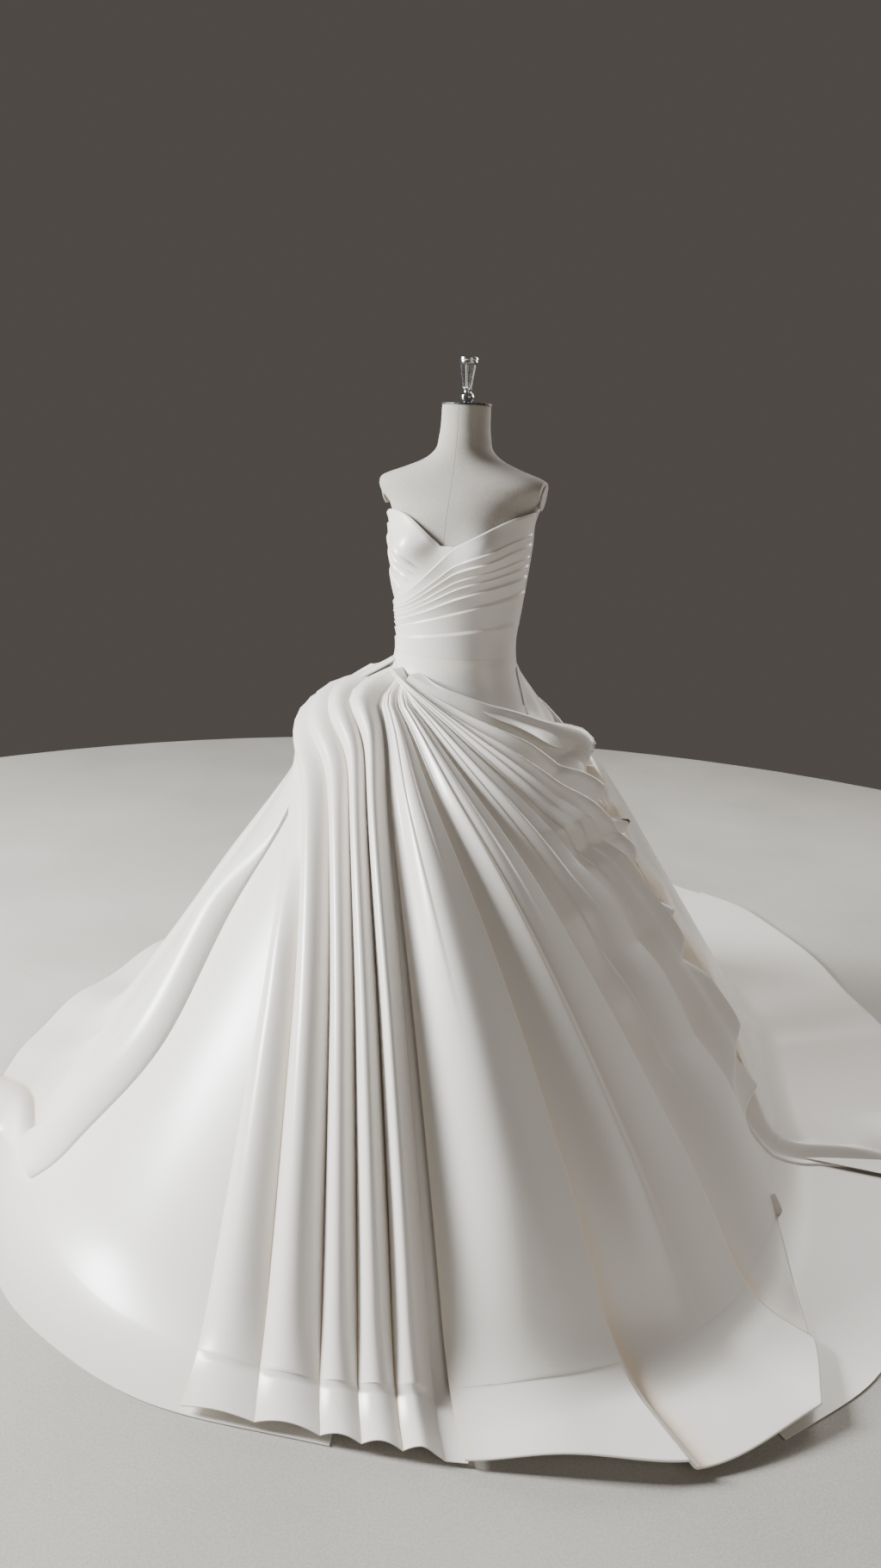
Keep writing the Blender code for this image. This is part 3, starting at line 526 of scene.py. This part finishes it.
# height above the cap, radius
FINIAL_PROFILE = np.array((
    (0.0000, 0.0005), (0.0000, 0.0092), (0.0022, 0.0092), (0.0030, 0.0100), (0.0070, 0.0132),
    (0.0120, 0.0144), (0.0165, 0.0132), (0.0200, 0.0100), (0.0215, 0.0080), (0.0230, 0.0078),
    (0.0245, 0.0090), (0.0400, 0.0112), (0.0600, 0.0147), (0.0800, 0.0184), (0.0830, 0.0180),
    (0.0845, 0.0192), (0.0885, 0.0188), (0.0897, 0.0165), (0.0900, 0.0005)))


def finial():
    """radius = profile * (1 - 0.11 (1 - |sin 9a|)) where the flutes run, z = the profile's."""
    run = np.linspace(0, len(FINIAL_PROFILE) - 1, 109)[:, None]
    knots = np.arange(len(FINIAL_PROFILE))
    z = np.interp(run, knots, FINIAL_PROFILE[:, 0])
    plain = np.interp(run, knots, FINIAL_PROFILE[:, 1])
    around = np.linspace(0, 360, 109)[None, :-1]
    flutes = ease(0.026, 0.032, z) * (1 - ease(0.076, 0.080, z))
    groove = 1 - np.abs(np.sin(np.radians(FLUTE_TURNS * around)))
    radius = plain * (1 - FLUTE_DEPTH * flutes * groove)
    thing = closed_rings("finial_fluted", polar(around, radius, CAP_TOP + z))
    thing.data.set_sharp_from_angle(angle=math.radians(50))
    thing.data.materials.append(bright)
    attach(thing, "root")
    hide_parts("form_finial")
    return thing


def finish(node, material):
    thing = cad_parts[node]
    thing.data.materials.clear()
    thing.data.materials.append(material)


fluted = finial()
finish("form_neck_cap", dark)
finish("stand_pole", bright)
finish("stand_base", dark)
finish("form_arm_plate_left", cover)
finish("form_arm_plate_right", cover)
print("finial", len(fluted.data.polygons), "faces")

# %% [markdown]
# The bodice is boned and stiff under its pleats, so it keeps the form's shape.  Soft
# pleats are laid over it on the slant: each is a strip of the surface that rises fast at
# its upper fold and dies away below.  The strips are uneven, as hand-laid pleats are.

# %% Pleats of the bodice
SIDE_SEAM, CROSS_END = 89.8, -89.8
BACK_START, BACK_SEAM = 90.1, 179.9
NOTCH_Z, YOKE_TOP, YOKE_BOTTOM = 1.283, 1.052, 0.945
CLOTH_CLEAR, BODICE_WALL, PLEAT_RISE = 0.0075, 0.0024, 0.0046
CROSS_LOW_SIDE, CROSS_LOW_END, CROSS_SAG = 1.200, 1.096, 0.006
# heading and height of the crossing panel's upper edge
CROSS_EDGE = np.array((
    (-89.8, 1.145), (-58.0, 1.172), (-40.0, 1.188), (-26.0, 1.209), (-4.0, 1.250), (13.0, 1.284),
    (40.0, 1.318), (89.8, 1.352))).T


def neckline(heading):
    """A sweetheart: up from a short flat notch to a peak at each side, then down behind."""
    turn = wrap(heading)
    along = np.sin(np.radians(turn - 22))
    left = 0.082 * np.clip((along + 0.156) / 1.156, 0, 1) - 0.050 * ease(106, 142, turn)
    right = 0.066 * np.clip((-0.423 - along) / 0.577, 0, 1) - 0.034 * ease(68, 113, -turn)
    return NOTCH_Z + np.where(turn > 0, left, right)


def cross_line(across, along):
    """Height of the slanting pleats, from the wearer's left side down to the right."""
    upper = through(CROSS_EDGE[0], CROSS_EDGE[1], SIDE_SEAM + (CROSS_END - SIDE_SEAM) * along)
    lower = CROSS_LOW_SIDE + (CROSS_LOW_END - CROSS_LOW_SIDE) * along
    lower = lower - CROSS_SAG * np.sin(math.pi * along)
    return upper + (lower - upper) * across


def pleats(across, along, edges, heights):
    """Laid pleats between the edges: up over the first seventh, then 1 - t^0.8 down."""
    place = across + 0.010 * np.sin(2 * math.pi * (1.3 * across + 0.6 * along))
    rise = np.zeros_like(across)
    for k, height in enumerate(heights):
        t = np.clip((place - edges[k]) / (edges[k + 1] - edges[k]), 0, 1)
        rise = rise + height * ease(0, 0.13, t) * (1 - t ** 0.8) * ease(0, 0.02, 1 - t)
    return rise


def pleat_shade(rise):
    """How deep a point lies beside the fold next to it: 1 right under a fold."""
    drop = np.gradient(rise, axis=0)
    return np.clip(drop / max(float(drop.max()), 1e-6), 0, 1)


print("notch of the neckline", round(float(neckline(0)), 3), "m up")

# %% [markdown]
# Each panel of the bodice is a grid between its upper and its lower edge: across runs down
# the panel and along runs round the form.  The crossing panel lies over the cup, so the
# cup's edge sinks below it, and the waist folds and the yoke follow from the same edges.

# %% Bodice panels
def bodice_piece(name, heading, z, clear, rise, node):
    points = body_point(heading, z, clear)
    base = np.broadcast_to(BODICE_WALL, z.shape)
    # painted shade and bounce light: the colour is warmed under each pleat through the fold attribute
    piece = cloth(name, points, ivory, 0.55 * pleat_shade(rise), thick=base + rise)
    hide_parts(node)
    return piece


across, along = grid(131, 120)
heading = SIDE_SEAM + (CROSS_END - SIDE_SEAM) * along
z = cross_line(across, along)
z = z + (1 - across) ** 3 * (np.where(heading > 13, neckline(heading), z[:1]) - z[:1])
cross_edges = (0.0, 0.27, 0.38, 0.53, 0.65, 0.80, 1.0)
cross_heights = np.array((0.8, 0.9, 1.15, 0.9, 1.2, 1.5)) * PLEAT_RISE
rise = pleats(across, along, cross_edges, cross_heights) * ease(0, 0.03, along)
rise = rise * (1 - 0.5 * ease(0.7, 1, along))
bodice_piece("bodice_crossing_panel", heading, z, CLOTH_CLEAR, rise,
             "bodice_cross_left")

across, along = grid(111, 90)
cup_rows = (0.0, 0.17, 0.36, 0.55, 0.77, 1.0)
edge_heading = through(cup_rows, np.array((11.0, -13.0, -21.0, -31.0, -48.0, CROSS_END + 5)), across)
edge_along = (SIDE_SEAM - edge_heading) / (SIDE_SEAM - CROSS_END)
edge_z = cross_line(np.zeros_like(across), edge_along) - 0.004 + 0.008 * across**3
heading = -SIDE_SEAM + (edge_heading + SIDE_SEAM) * along
side_z = through(cup_rows, np.array((1.349, 1.331, 1.309, 1.284, 1.240, 1.152)), across)
z = side_z + (edge_z - side_z) * along - 0.012 * np.sin(math.pi * along) * (1 - across)
z = z + (1 - across) ** 3 * (neckline(heading[:1]) - z[:1])
rise = pleats(across, along, cup_rows, np.array((0.8, 1.0, 1.15, 0.9, 1.0)) * PLEAT_RISE)
rise = rise * (1 - ease(0.74, 0.88, along))
sink = (0.0046 + 0.001 * across) * ease(0.74 - 0.4 * across, 0.88 - 0.3 * across, along)
bodice_piece("bodice_right_cup", heading, z, CLOTH_CLEAR - sink, rise,
             "bodice_cup_right")

across, along = grid(61, 110)
heading = SIDE_SEAM - 2 * SIDE_SEAM * along
crossed = np.minimum((SIDE_SEAM - heading) / (SIDE_SEAM - CROSS_END), 1)
top = cross_line(np.ones_like(along), crossed) - 0.0006
z = top + (YOKE_TOP + 0.0003 - top) * across
rise = pleats(across, along, (0.0, 0.42, 1.0), np.array((0.9, 0.8)) * PLEAT_RISE)
rise = rise * ease(0, 0.05, across)
bodice_piece("bodice_waist_folds", heading, z, CLOTH_CLEAR, rise,
             "bodice_waist_wrap")

across, along = grid(40, 100)
heading = SIDE_SEAM - 2 * SIDE_SEAM * along
z = YOKE_TOP + (YOKE_BOTTOM - YOKE_TOP) * across
pull = 0.0012 * bump(0, 0.25, across - 0.7 * along) * ease(0, 0.2, across)
bodice_piece("bodice_hip_yoke", heading, z, CLOTH_CLEAR, pull,
             "bodice_yoke")

for name, node, low, high in (
        ("bodice_left_back", "bodice_back_left", BACK_START, BACK_SEAM),
        ("bodice_right_back", "bodice_back_right", -BACK_SEAM, -BACK_START)):
    across, along = grid(50, 44)
    heading = high + (low - high) * along
    z = neckline(heading) + (YOKE_BOTTOM - neckline(heading)) * across
    seam = 0.0007 * (1 - bump(0, 0.006, along - 0.45))
    bodice_piece(name, heading, z, CLOTH_CLEAR, seam, node)
print("bodice pieces", len(made))

# %% [markdown]
# Seen from the front, the draped face ends at a scalloped edge near the wearer's left side:
# there each fold turns back into a hollow, and behind the hollows stands one broad fold.
# Both pieces that make up that face share this swell, so that they stay one over the other.

# %% The scalloped edge and the broad fold behind it
# drop, heading of the edge, how far it stands out
COWL_EDGE = np.array((
    (0.12, 97, 0.020), (0.185, 97, 0.050), (0.21, 86, 0.044), (0.29, 70, 0.032), (0.325, 84, 0.046),
    (0.36, 76, 0.040), (0.417, 71, 0.032), (0.49, 81, 0.046), (0.53, 76, 0.038), (0.56, 74, 0.034),
    (0.67, 86, 0.044), (0.73, 80, 0.036), (0.786, 75, 0.026), (1.0, 68, 0.0), (2.0, 55, 0.0))).T


def cowl_edge(drop):
    return np.interp(drop, COWL_EDGE[0], COWL_EDGE[1])


def face_swell(heading, drop):
    """Up to the edge, steeply back into the hollow, and up again to the broad fold."""
    past = heading - cowl_edge(drop)
    lip = np.interp(drop, COWL_EDGE[0], COWL_EDGE[2])
    face = lip * ease(-30, -1, past) * (1 - ease(0, 5.5, past)) * ease(0.08, 0.16, drop)
    crest = ease(5, 13, past) * (1 - 0.4 * ease(14, 36, past)) * (1 - ease(112, 146, heading))
    return face + 0.038 * crest * ease(0.14, 0.26, drop) * (1 - 0.6 * ease(0.75, 1.0, drop))


print("edge at the knee", float(cowl_edge(0.56)), "degrees")

# %% [markdown]
# The front drape starts from one gather at the wearer's right hip.  Its folds are laid
# one over the next and fan out: a fold keeps its direction, and bends from the gather's
# heading towards it.  Each fold rises steeply at its rim and its lip leans over the rise,
# and that is what makes the sharp shadow under each.

# %% Folds of the front drape
FLOOR_TURN = 0.15
# direction, rim, bulge, lean of the lip
DRAPE_FOLDS = np.array((
    (104.0, 0.040, 0.004, 0.010), (88.0, 0.030, 0.008, 0.014), (68.0, 0.026, 0.020, 0.014),
    (47.0, 0.030, 0.034, 0.014), (27.0, 0.006, 0.000, 0.000)))
# Fine pleats of the gather: direction, width, height, drop where it has died away
FINE_PLEATS = np.array((
    (99.0, 5.0, 0.005, 0.40), (94.0, 5.0, 0.006, 0.62), (81.0, 5.0, 0.006, 0.48),
    (76.0, 5.0, 0.006, 0.80), (62.0, 5.0, 0.006, 0.46), (57.5, 6.0, 0.009, 1.15),
    (52.0, 4.0, 0.005, 0.38), (41.0, 5.0, 0.006, 0.42), (36.0, 4.0, 0.006, 0.60),
    (32.0, 3.0, 0.004, 0.35)))


def fan_drop(drop):
    """The drop as the fan counts it: on the floor a fold turns far less than in the air."""
    return np.minimum(drop, 1) + FLOOR_TURN * np.maximum(drop - 1, 0)


def fan_heading(direction, drop, start=GATHER_HEADING, above=0.0):
    """direction - (direction - start) * reach / (reach + drop below the gather)"""
    reached = GATHER_REACH + np.maximum(fan_drop(drop) - above, 0)
    return direction - (direction - start) * GATHER_REACH / reached


def rim_shape(t, steep=0.05):
    """Up fast over the rim, t from 0 to steep, and down slowly to the next fold at 1."""
    return ease(0, steep, t) * (1 - ease(steep, 1.0, t))


def drape_form(direction, drop):
    """Height and lean of the drape, and how deep in a fold each point is."""
    spread = drop**2 / (drop**2 + 0.05) * (1 - 0.55 * ease(0.75, 1.05, drop))
    height = 0.016 * ease(99, 104, direction)
    slide = np.zeros_like(drop)
    depth = np.zeros_like(drop)
    creases = np.zeros_like(drop)
    for (top, rim, bulge, lean), (low, _, _, _) in zip(DRAPE_FOLDS[:-1], DRAPE_FOLDS[1:]):
        t = np.clip((top - direction) / (top - low), 0, 1)
        height = height + rim * rim_shape(t) + bulge * np.sin(math.pi * t) ** 2
        slide = slide + lean * ease(0.02, 0.08, t) * (1 - ease(0.08, 0.4, t))
        # depth marks where painted bounce light and shade warm the colour: under each fold's rim and
        # beside each fine pleat
        depth = depth + bump(1, 0.10, t) * (t < 1)
    for middle, width, rise, gone in FINE_PLEATS:
        t = (middle - direction) / width
        shape = ease(-0.1, 0.12, t) * (1 - ease(0.12, 1.0, t))
        creases = creases + 0.55 * rise * shape * (1 - ease(0.55 * gone, gone, drop))
        depth = depth + 0.5 * bump(-0.1, 0.12, t) * (1 - ease(0.4 * gone, gone, drop))
    height = height * 1.25 * spread + creases * ease(0.01, 0.06, drop)
    return height, slide * spread, depth * ease(0.02, 0.2, drop)


print("folds fan out to", [float(v) for v in DRAPE_FOLDS[:-1, 0]], "degrees")

# %% [markdown]
# The drape's grid runs across the fan and down each fold.  Its upper corner is sewn in at
# the gather.  At the side its face turns in along the scalloped edge, and its lower edge
# there is turned under, so that no raw edge of the shell shows.

# %% The front drape
DRAPE_START, LIP_LEAN = 28.4, -0.45


def front_drape():
    top = DRAPE_FOLDS[0, 0]
    direction = np.linspace(DRAPE_START, top, 290)
    end = np.minimum(HEM, 0.84 + 1.16 * ((top - direction) / 44) ** 2.6)
    drop = drops(0.02, end, 155)
    direction = np.broadcast_to(direction, drop.shape)
    heading = fan_heading(direction, drop)
    height, slide, depth = drape_form(direction, drop)
    seated = 0.97 * (1 - ease(0.02, 0.08, drop)) * (1 - ease(60, 85, direction))
    past = heading - cowl_edge(drop)
    turned = ease(-1, 5, past) * (1 - ease(0.8, 0.95, drop))
    height = height * (1 - turned)
    lift = LIP_LEAN * height * ease(50, 80, heading) * ease(70, 95, direction)
    out = LAYER * (2 + 2 * turned) + height + face_swell(heading, drop)
    points = skirt_point(heading, hem_wave(heading, drop), out, lift, slide * (1 - turned))
    points = seat(points, heading, seated)
    soft = ease(66, 84, direction[-1])
    points = fold_under(points, 0.0005 + 0.009 * soft, 0.002 + 0.03 * soft)
    return cloth("skirt_front_drapery", points, ivory, longer(depth))


drape = front_drape()
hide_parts("skirt_front_drape")

# %% [markdown]
# Beside the fan, the folds over the wearer's right hip hang straight down like organ
# pipes.  Each is a rounded fold between two narrow valleys, and starts higher up than the
# one outside it.

# %% Folds over the hip
# direction of the valley, drop where it starts, height of the fold after it
HIP_FOLDS = np.array((
    (7.0, 0.130, 0.026), (13.0, 0.125, 0.038), (18.0, 0.090, 0.034), (21.0, 0.055, 0.040),
    (24.0, 0.030, 0.042), (27.0, 0.015, 0.000)))
HIP_FOLDS_END, HIP_SPREAD = 28.7, 32


def hip_folds():
    across = np.linspace(0, 1, 200)
    outer = HIP_FOLDS[0, 0]
    direction = outer + (HIP_FOLDS_END - outer) * across
    start = through(HIP_FOLDS[:, 0], HIP_FOLDS[:, 1], direction)
    drop = drops(0.25 * start + 0.004, HEM, 170)
    direction = np.broadcast_to(direction, drop.shape)
    above = start * (1 - ease(24, 28, direction))
    heading = fan_heading(direction, drop, GATHER_HEADING - HIP_SPREAD * (1 - across), above)
    height = np.zeros_like(drop)
    depth = np.zeros_like(drop)
    for (low, _, rise), (high, _, _) in zip(HIP_FOLDS[:-1], HIP_FOLDS[1:]):
        t = np.clip((direction - low) / (high - low), 0, 1)
        grown = 1 if low > outer else ease(0.3, 0.5, drop)
        height = height + rise * np.sin(math.pi * t) ** 0.9 * grown
        # depth marks painted bounce light and shade in each valley between the hip folds
        depth = depth + bump(0, 0.09, t) * (t > 0)
    below = np.maximum(drop - 0.6 * start, 0)
    spread = below / (below + 0.14) * (1 - 0.7 * ease(0.75, 1.15, drop)) * 1.2
    tucked = (HIP_LAYER - LAYER) * ease(25.2, 26.6, direction)
    sewn = 0.0035 + 0.0075 * (1 - ease(15, 20, direction))
    base = sewn + (HIP_LAYER - tucked - sewn) * ease(0, 0.05, below)
    points = skirt_point(heading, hem_wave(heading, drop), base + height * spread)
    seated = 0.97 * (1 - ease(0.02, 0.08, drop)) * ease(20, 27.5, direction)
    points = seat(points, heading, seated, SKIRT_CLEAR - 0.0004)
    points = fold_under(points[::-1], 0.003, 0.020, 0.010)[::-1]
    depth = longer((depth * ease(0, 0.1, below))[::-1])[::-1]
    return cloth("skirt_hip_pipes", points, ivory, depth)


pipes = hip_folds()
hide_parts("skirt_hip_folds")

# %% [markdown]
# On the wearer's left the same folds turn round the side and fall open as cowls, one
# under the other: deep cups of cloth whose rims hang away from the skirt behind them.

# %% Cowls of the side swag
# direction, rim
SWAG_FOLDS = np.array(((215.0, 0.012), (137.0, 0.048), (116.0, 0.050), (101.0, 0.0)))
SWAG_START, SWAG_LOWEST, SWAG_END, SWAG_TIP = -24, 104.0, 164.0, 102
SWAG_BACK_DROP, TOP_RIM, SWAG_WAVE, SWAG_LEAN = 0.055, 0.028, 0.020, -0.35


def swag_top(heading):
    """Drop of the swag's top rim: out from the gather, then up again behind the side."""
    first = SWAG_FOLDS[0, 0]
    falling = GATHER_REACH * (heading - GATHER_HEADING) / (first - np.minimum(heading, SWAG_LOWEST))
    side = GATHER_REACH * (SWAG_LOWEST - GATHER_HEADING) / (first - SWAG_LOWEST)
    rising = side + (SWAG_BACK_DROP - side) * ease(SWAG_LOWEST, 175, heading)
    return np.where(heading < SWAG_LOWEST, falling, rising)


def waves_from(heading, start):
    """sin^2 of nine times the heading past the start: one broad wave each 20 degrees."""
    return np.sin(np.radians((heading - start) * 9)) ** 2


def side_swag():
    side = 60 + (SWAG_END - 60) * np.linspace(0, 1, 181)[1:] ** 1.1
    heading = np.concatenate([np.linspace(SWAG_START, 60, 60), side])
    bottom = GATHER_REACH * (heading - GATHER_HEADING) / np.maximum(SWAG_TIP - heading, 0.1)
    bottom = np.minimum(bottom, HEM)
    top = swag_top(heading)
    drop = drops(top, bottom, 170)
    across = (drop - top) / (drop[-1] - top)
    heading = np.broadcast_to(heading, drop.shape)
    direction = heading + (heading - GATHER_HEADING) * GATHER_REACH / fan_drop(drop)
    edge = cowl_edge(drop)
    past = heading - edge
    window = ease(-20, 0.95 * edge, heading) * (1 - ease(-1, 4.5, past)) * ease(0.0, 0.16, drop)
    height = np.zeros_like(drop)
    depth = np.zeros_like(drop)
    for (high, rim), (low, _) in zip(SWAG_FOLDS[:-1], SWAG_FOLDS[1:]):
        t = np.clip((high - direction) / (high - low), 0, 1)
        height = height + rim * rim_shape(t, 0.10)
        # depth marks painted bounce light and shade under each cowl's rim
        depth = depth + bump(1, 0.12, t) * (t < 1)
    height = height * window
    rim = TOP_RIM * (1 - ease(0, 0.16, across))
    rim = rim * ease(40, 88, heading) * (1 - ease(104, 132, heading))
    waves = SWAG_WAVE * waves_from(heading, 112) * ease(122, 132, heading)
    waves = waves * ease(0.1, 0.6, drop) * (1 - 0.5 * ease(0.9, 1.3, drop))
    waves = waves * (1 - ease(156, 163, heading))
    seated = (1 - ease(0, 0.2, across)) * (1 - ease(SWAG_START, 10, heading))
    out = LAYER * (1 + ease(60, 84, heading)) + height + rim + waves + face_swell(heading, drop)
    laid = ease(0.6, 0.85, bottom) * ease(0.7, 0.95, across) * (1 - ease(96, 104, heading))
    out = out + (0.004 - out) * laid
    lift = SWAG_LEAN * (height + rim) * ease(50, 80, heading)
    points = skirt_point(heading, hem_wave(heading, drop), out, lift)
    points = seat(points, heading, seated, SKIRT_CLEAR - 0.0003)
    # painted shade and bounce light on the far wall of each hollow behind the scalloped edge
    pocket_shade = ease(2, 7, past) * (1 - ease(16, 30, past))
    pocket_shade = pocket_shade * ease(0.1, 0.2, drop) * (1 - ease(0.8, 0.95, drop))
    depth = np.maximum(depth * window, 0.8 * pocket_shade)
    loose = ease(0.9, 1.1, bottom)
    points = fold_under(points, 0.0005 + 0.005 * loose, 0.002 + 0.02 * loose, 0.012 * loose)
    depth = longer(depth)
    open_rim = ease(20, 70, heading[0]) * (1 - ease(140, 158, heading[0]))
    sink = np.maximum(out[0] - 0.012, 0) * open_rim
    points = fold_under(points[::-1], 0.0005 + 0.004 * open_rim, 0.002 + 0.060 * open_rim, sink)
    return cloth("skirt_swag_cowls", points[::-1], ivory, longer(depth[::-1])[::-1])


swag = side_swag()
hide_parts("skirt_side_swag")

# %% [markdown]
# Under the drapes lie two plain panels of the skirt, and behind them the two back panels
# with the train.  Heavy satin falls in a few broad waves and one rolled edge, so the backs
# have slow sine waves with room between them.

# %% Plain panels and back
PANEL_TOP, BACK_CLEAR = 0.078, 0.0008
BACK_WAVE, ROLL_RISE, ROLL_WIDTH = 0.030, 0.036, 11


def sewn_share(drop):
    """1 at a panel's top, where it is sewn on against the form, and 0 a little lower."""
    return 1 - ease(PANEL_TOP + 0.005, PANEL_TOP + 0.09, drop)


def plain_panel(name, low, high, columns):
    """Sewn on against the form at its top; below, it lies smooth on the bell."""
    heading = np.broadcast_to(np.linspace(low, high, columns), (90, columns))
    drop = np.broadcast_to(drops(PANEL_TOP, HEM, 90), heading.shape)
    points = skirt_point(heading, hem_wave(heading, drop), np.zeros_like(drop))
    return cloth(name, seat(points, heading, sewn_share(drop)), ivory)


def rolled_edge(drop):
    """Heading of the rolled front edge of the back panel on the wearer's right."""
    stops = (0.0, 0.11, 0.23, 0.47, 0.68, 0.88, 1.38, HEM)
    headings = np.array((-66.0, -55.0, -42.0, -37.0, -32.0, -38.0, -52.0, -58.0))
    return through(stops, headings, drop)


def back_layer(drop):
    """Close on the form at the waist, and one layer out just below it."""
    return BACK_CLEAR + LAYER * ease(0, 0.06, drop)


def right_back():
    share = np.linspace(1, 0, 220)
    drop = np.broadcast_to(drops(0.0, HEM, 160), (160, 220))
    edge = rolled_edge(drop)
    heading = edge + (-BACK_SEAM - edge) * share
    from_edge = edge - heading
    roll = ROLL_RISE * np.sin(math.pi * np.clip(from_edge / ROLL_WIDTH, 0, 1)) ** 0.8
    roll = roll * ease(0.28, 0.5, drop) * (1 - 0.4 * ease(0.8, 1.1, drop))
    waves = BACK_WAVE * waves_from(heading, -62) * ease(70, 84, -heading)
    waves = waves * (1 - ease(170, 178, -heading))
    waves = waves * ease(0.1, 0.6, drop) * (1 - 0.5 * ease(0.9, 1.3, drop))
    # depth marks painted bounce light and shade in the valley behind the rolled edge
    depth = bump(ROLL_WIDTH, 1.2, from_edge) * ease(0.3, 0.5, drop)
    points = skirt_point(heading, drop, back_layer(drop) + roll + waves)
    loose = ease(0.2, 0.4, drop[:, -1])
    points = fold_under(points.swapaxes(0, 1), 0.0005 + 0.007 * loose, 0.002 + 0.02 * loose)
    return cloth("skirt_right_back", points.swapaxes(0, 1), ivory, longer(depth.T).T)


def left_back():
    drop = np.broadcast_to(drops(0.0, HEM, 120), (120, 110))
    heading = np.broadcast_to(np.linspace(BACK_START, BACK_SEAM, 110), drop.shape)
    waves = BACK_WAVE * waves_from(heading, 165) * ease(163, 168, heading)
    waves = waves * (1 - ease(172, 178, heading)) * ease(0.1, 0.6, drop)
    sewn = sewn_share(drop) * (1 - ease(92, 112, heading))
    points = skirt_point(heading, drop, back_layer(drop) + waves)
    return cloth("skirt_left_back", seat(points, heading, sewn, SKIRT_CLEAR + 0.001), ivory)


side_panel = plain_panel("skirt_left_panel", 46, SIDE_SEAM, 40)
right_panel = plain_panel("skirt_right_front", -60, 10, 64)
for piece, node, flat, area in (
        (side_panel, "skirt_side_panel", (0.9, 1.5), 0.72),
        (right_panel, "skirt_right_panel", (1.2, 1.45), 1.02),
        (right_back(), "skirt_back_right", (2.2, 2.2), 2.6),
        (left_back(), "skirt_back_left", (1.9, 2.2), 2.1)):
    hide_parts(node)

# %% [markdown]
# A plain pale floor and soft light: a broad lamp high on the left in front, as from tall
# windows, a weak one on the right, and two behind to lift the train from the floor.

# %% Floor and light
FLOOR_RADIUS, FLOOR_MIDDLE, FLOOR_CORNERS = 3.4, (0, 0.3, 0), 96
ROOM_COLOUR = (0.085, 0.075, 0.066, 1.0)


def stage_floor():
    turn = 360 * np.linspace(0, 1, FLOOR_CORNERS + 1)[:-1]
    disc = polar(turn, FLOOR_RADIUS, -0.0006) + FLOOR_MIDDLE
    floor = put_mesh("floor", disc, np.arange(FLOOR_CORNERS)[None, :])
    material, start, shader = new_material("pale_floor")
    place = start.node("ShaderNodeTexCoord", {}, pick="Object")
    grain = start.node("ShaderNodeTexNoise", {}, {"Vector": place, "Scale": 260.0, "Detail": 3.0})
    cloud = start.node("ShaderNodeTexNoise", {}, {"Vector": place, "Scale": 2.2, "Detail": 3.0})
    mix = (grain * 0.6 + cloud * 0.4).step(0.3, 0.7)
    feed(shader, "Base Color", mix.mix((0.40, 0.385, 0.35, 1.0), (0.52, 0.50, 0.465, 1.0)))
    feed(shader, "Roughness", 0.85 + grain * 0.1)
    floor.data.materials.append(material)


def lamp(name, place, aim, size, power, colour):
    data = bpy.data.lights.new(name, "AREA")
    data.shape = "RECTANGLE"
    data.size, data.size_y = size
    data.energy = power
    data.color = colour
    thing = bpy.data.objects.new(name, data)
    turn = (Vector(aim) - Vector(place)).to_track_quat("-Z", "Y")
    thing.matrix_world = Matrix.LocRotScale(Vector(place), turn, None)
    bpy.context.scene.collection.objects.link(thing)


stage_floor()
lamp("window_left", (-3.9, -1.7, 2.6), (0, 0, 0.7), (1.0, 1.8), 700, (0.98, 0.99, 1.0))
lamp("fill_right", (3.2, -2.4, 1.6), (0, 0, 0.6), (2.0, 2.0), 22, (1.0, 0.95, 0.88))
lamp("back_right", (1.6, 2.5, 2.4), (0.3, 0, 0.6), (1.6, 1.6), 50, (1.0, 0.98, 0.95))
lamp("back_lift", (0.6, 3.4, 2.6), (0, 0.6, 0.3), (2.4, 1.6), 40, (1.0, 0.97, 0.93))
world = bpy.data.worlds.new("room")
world.use_nodes = True
world.node_tree.nodes["Background"].inputs["Color"].default_value = ROOM_COLOUR
bpy.context.scene.world = world
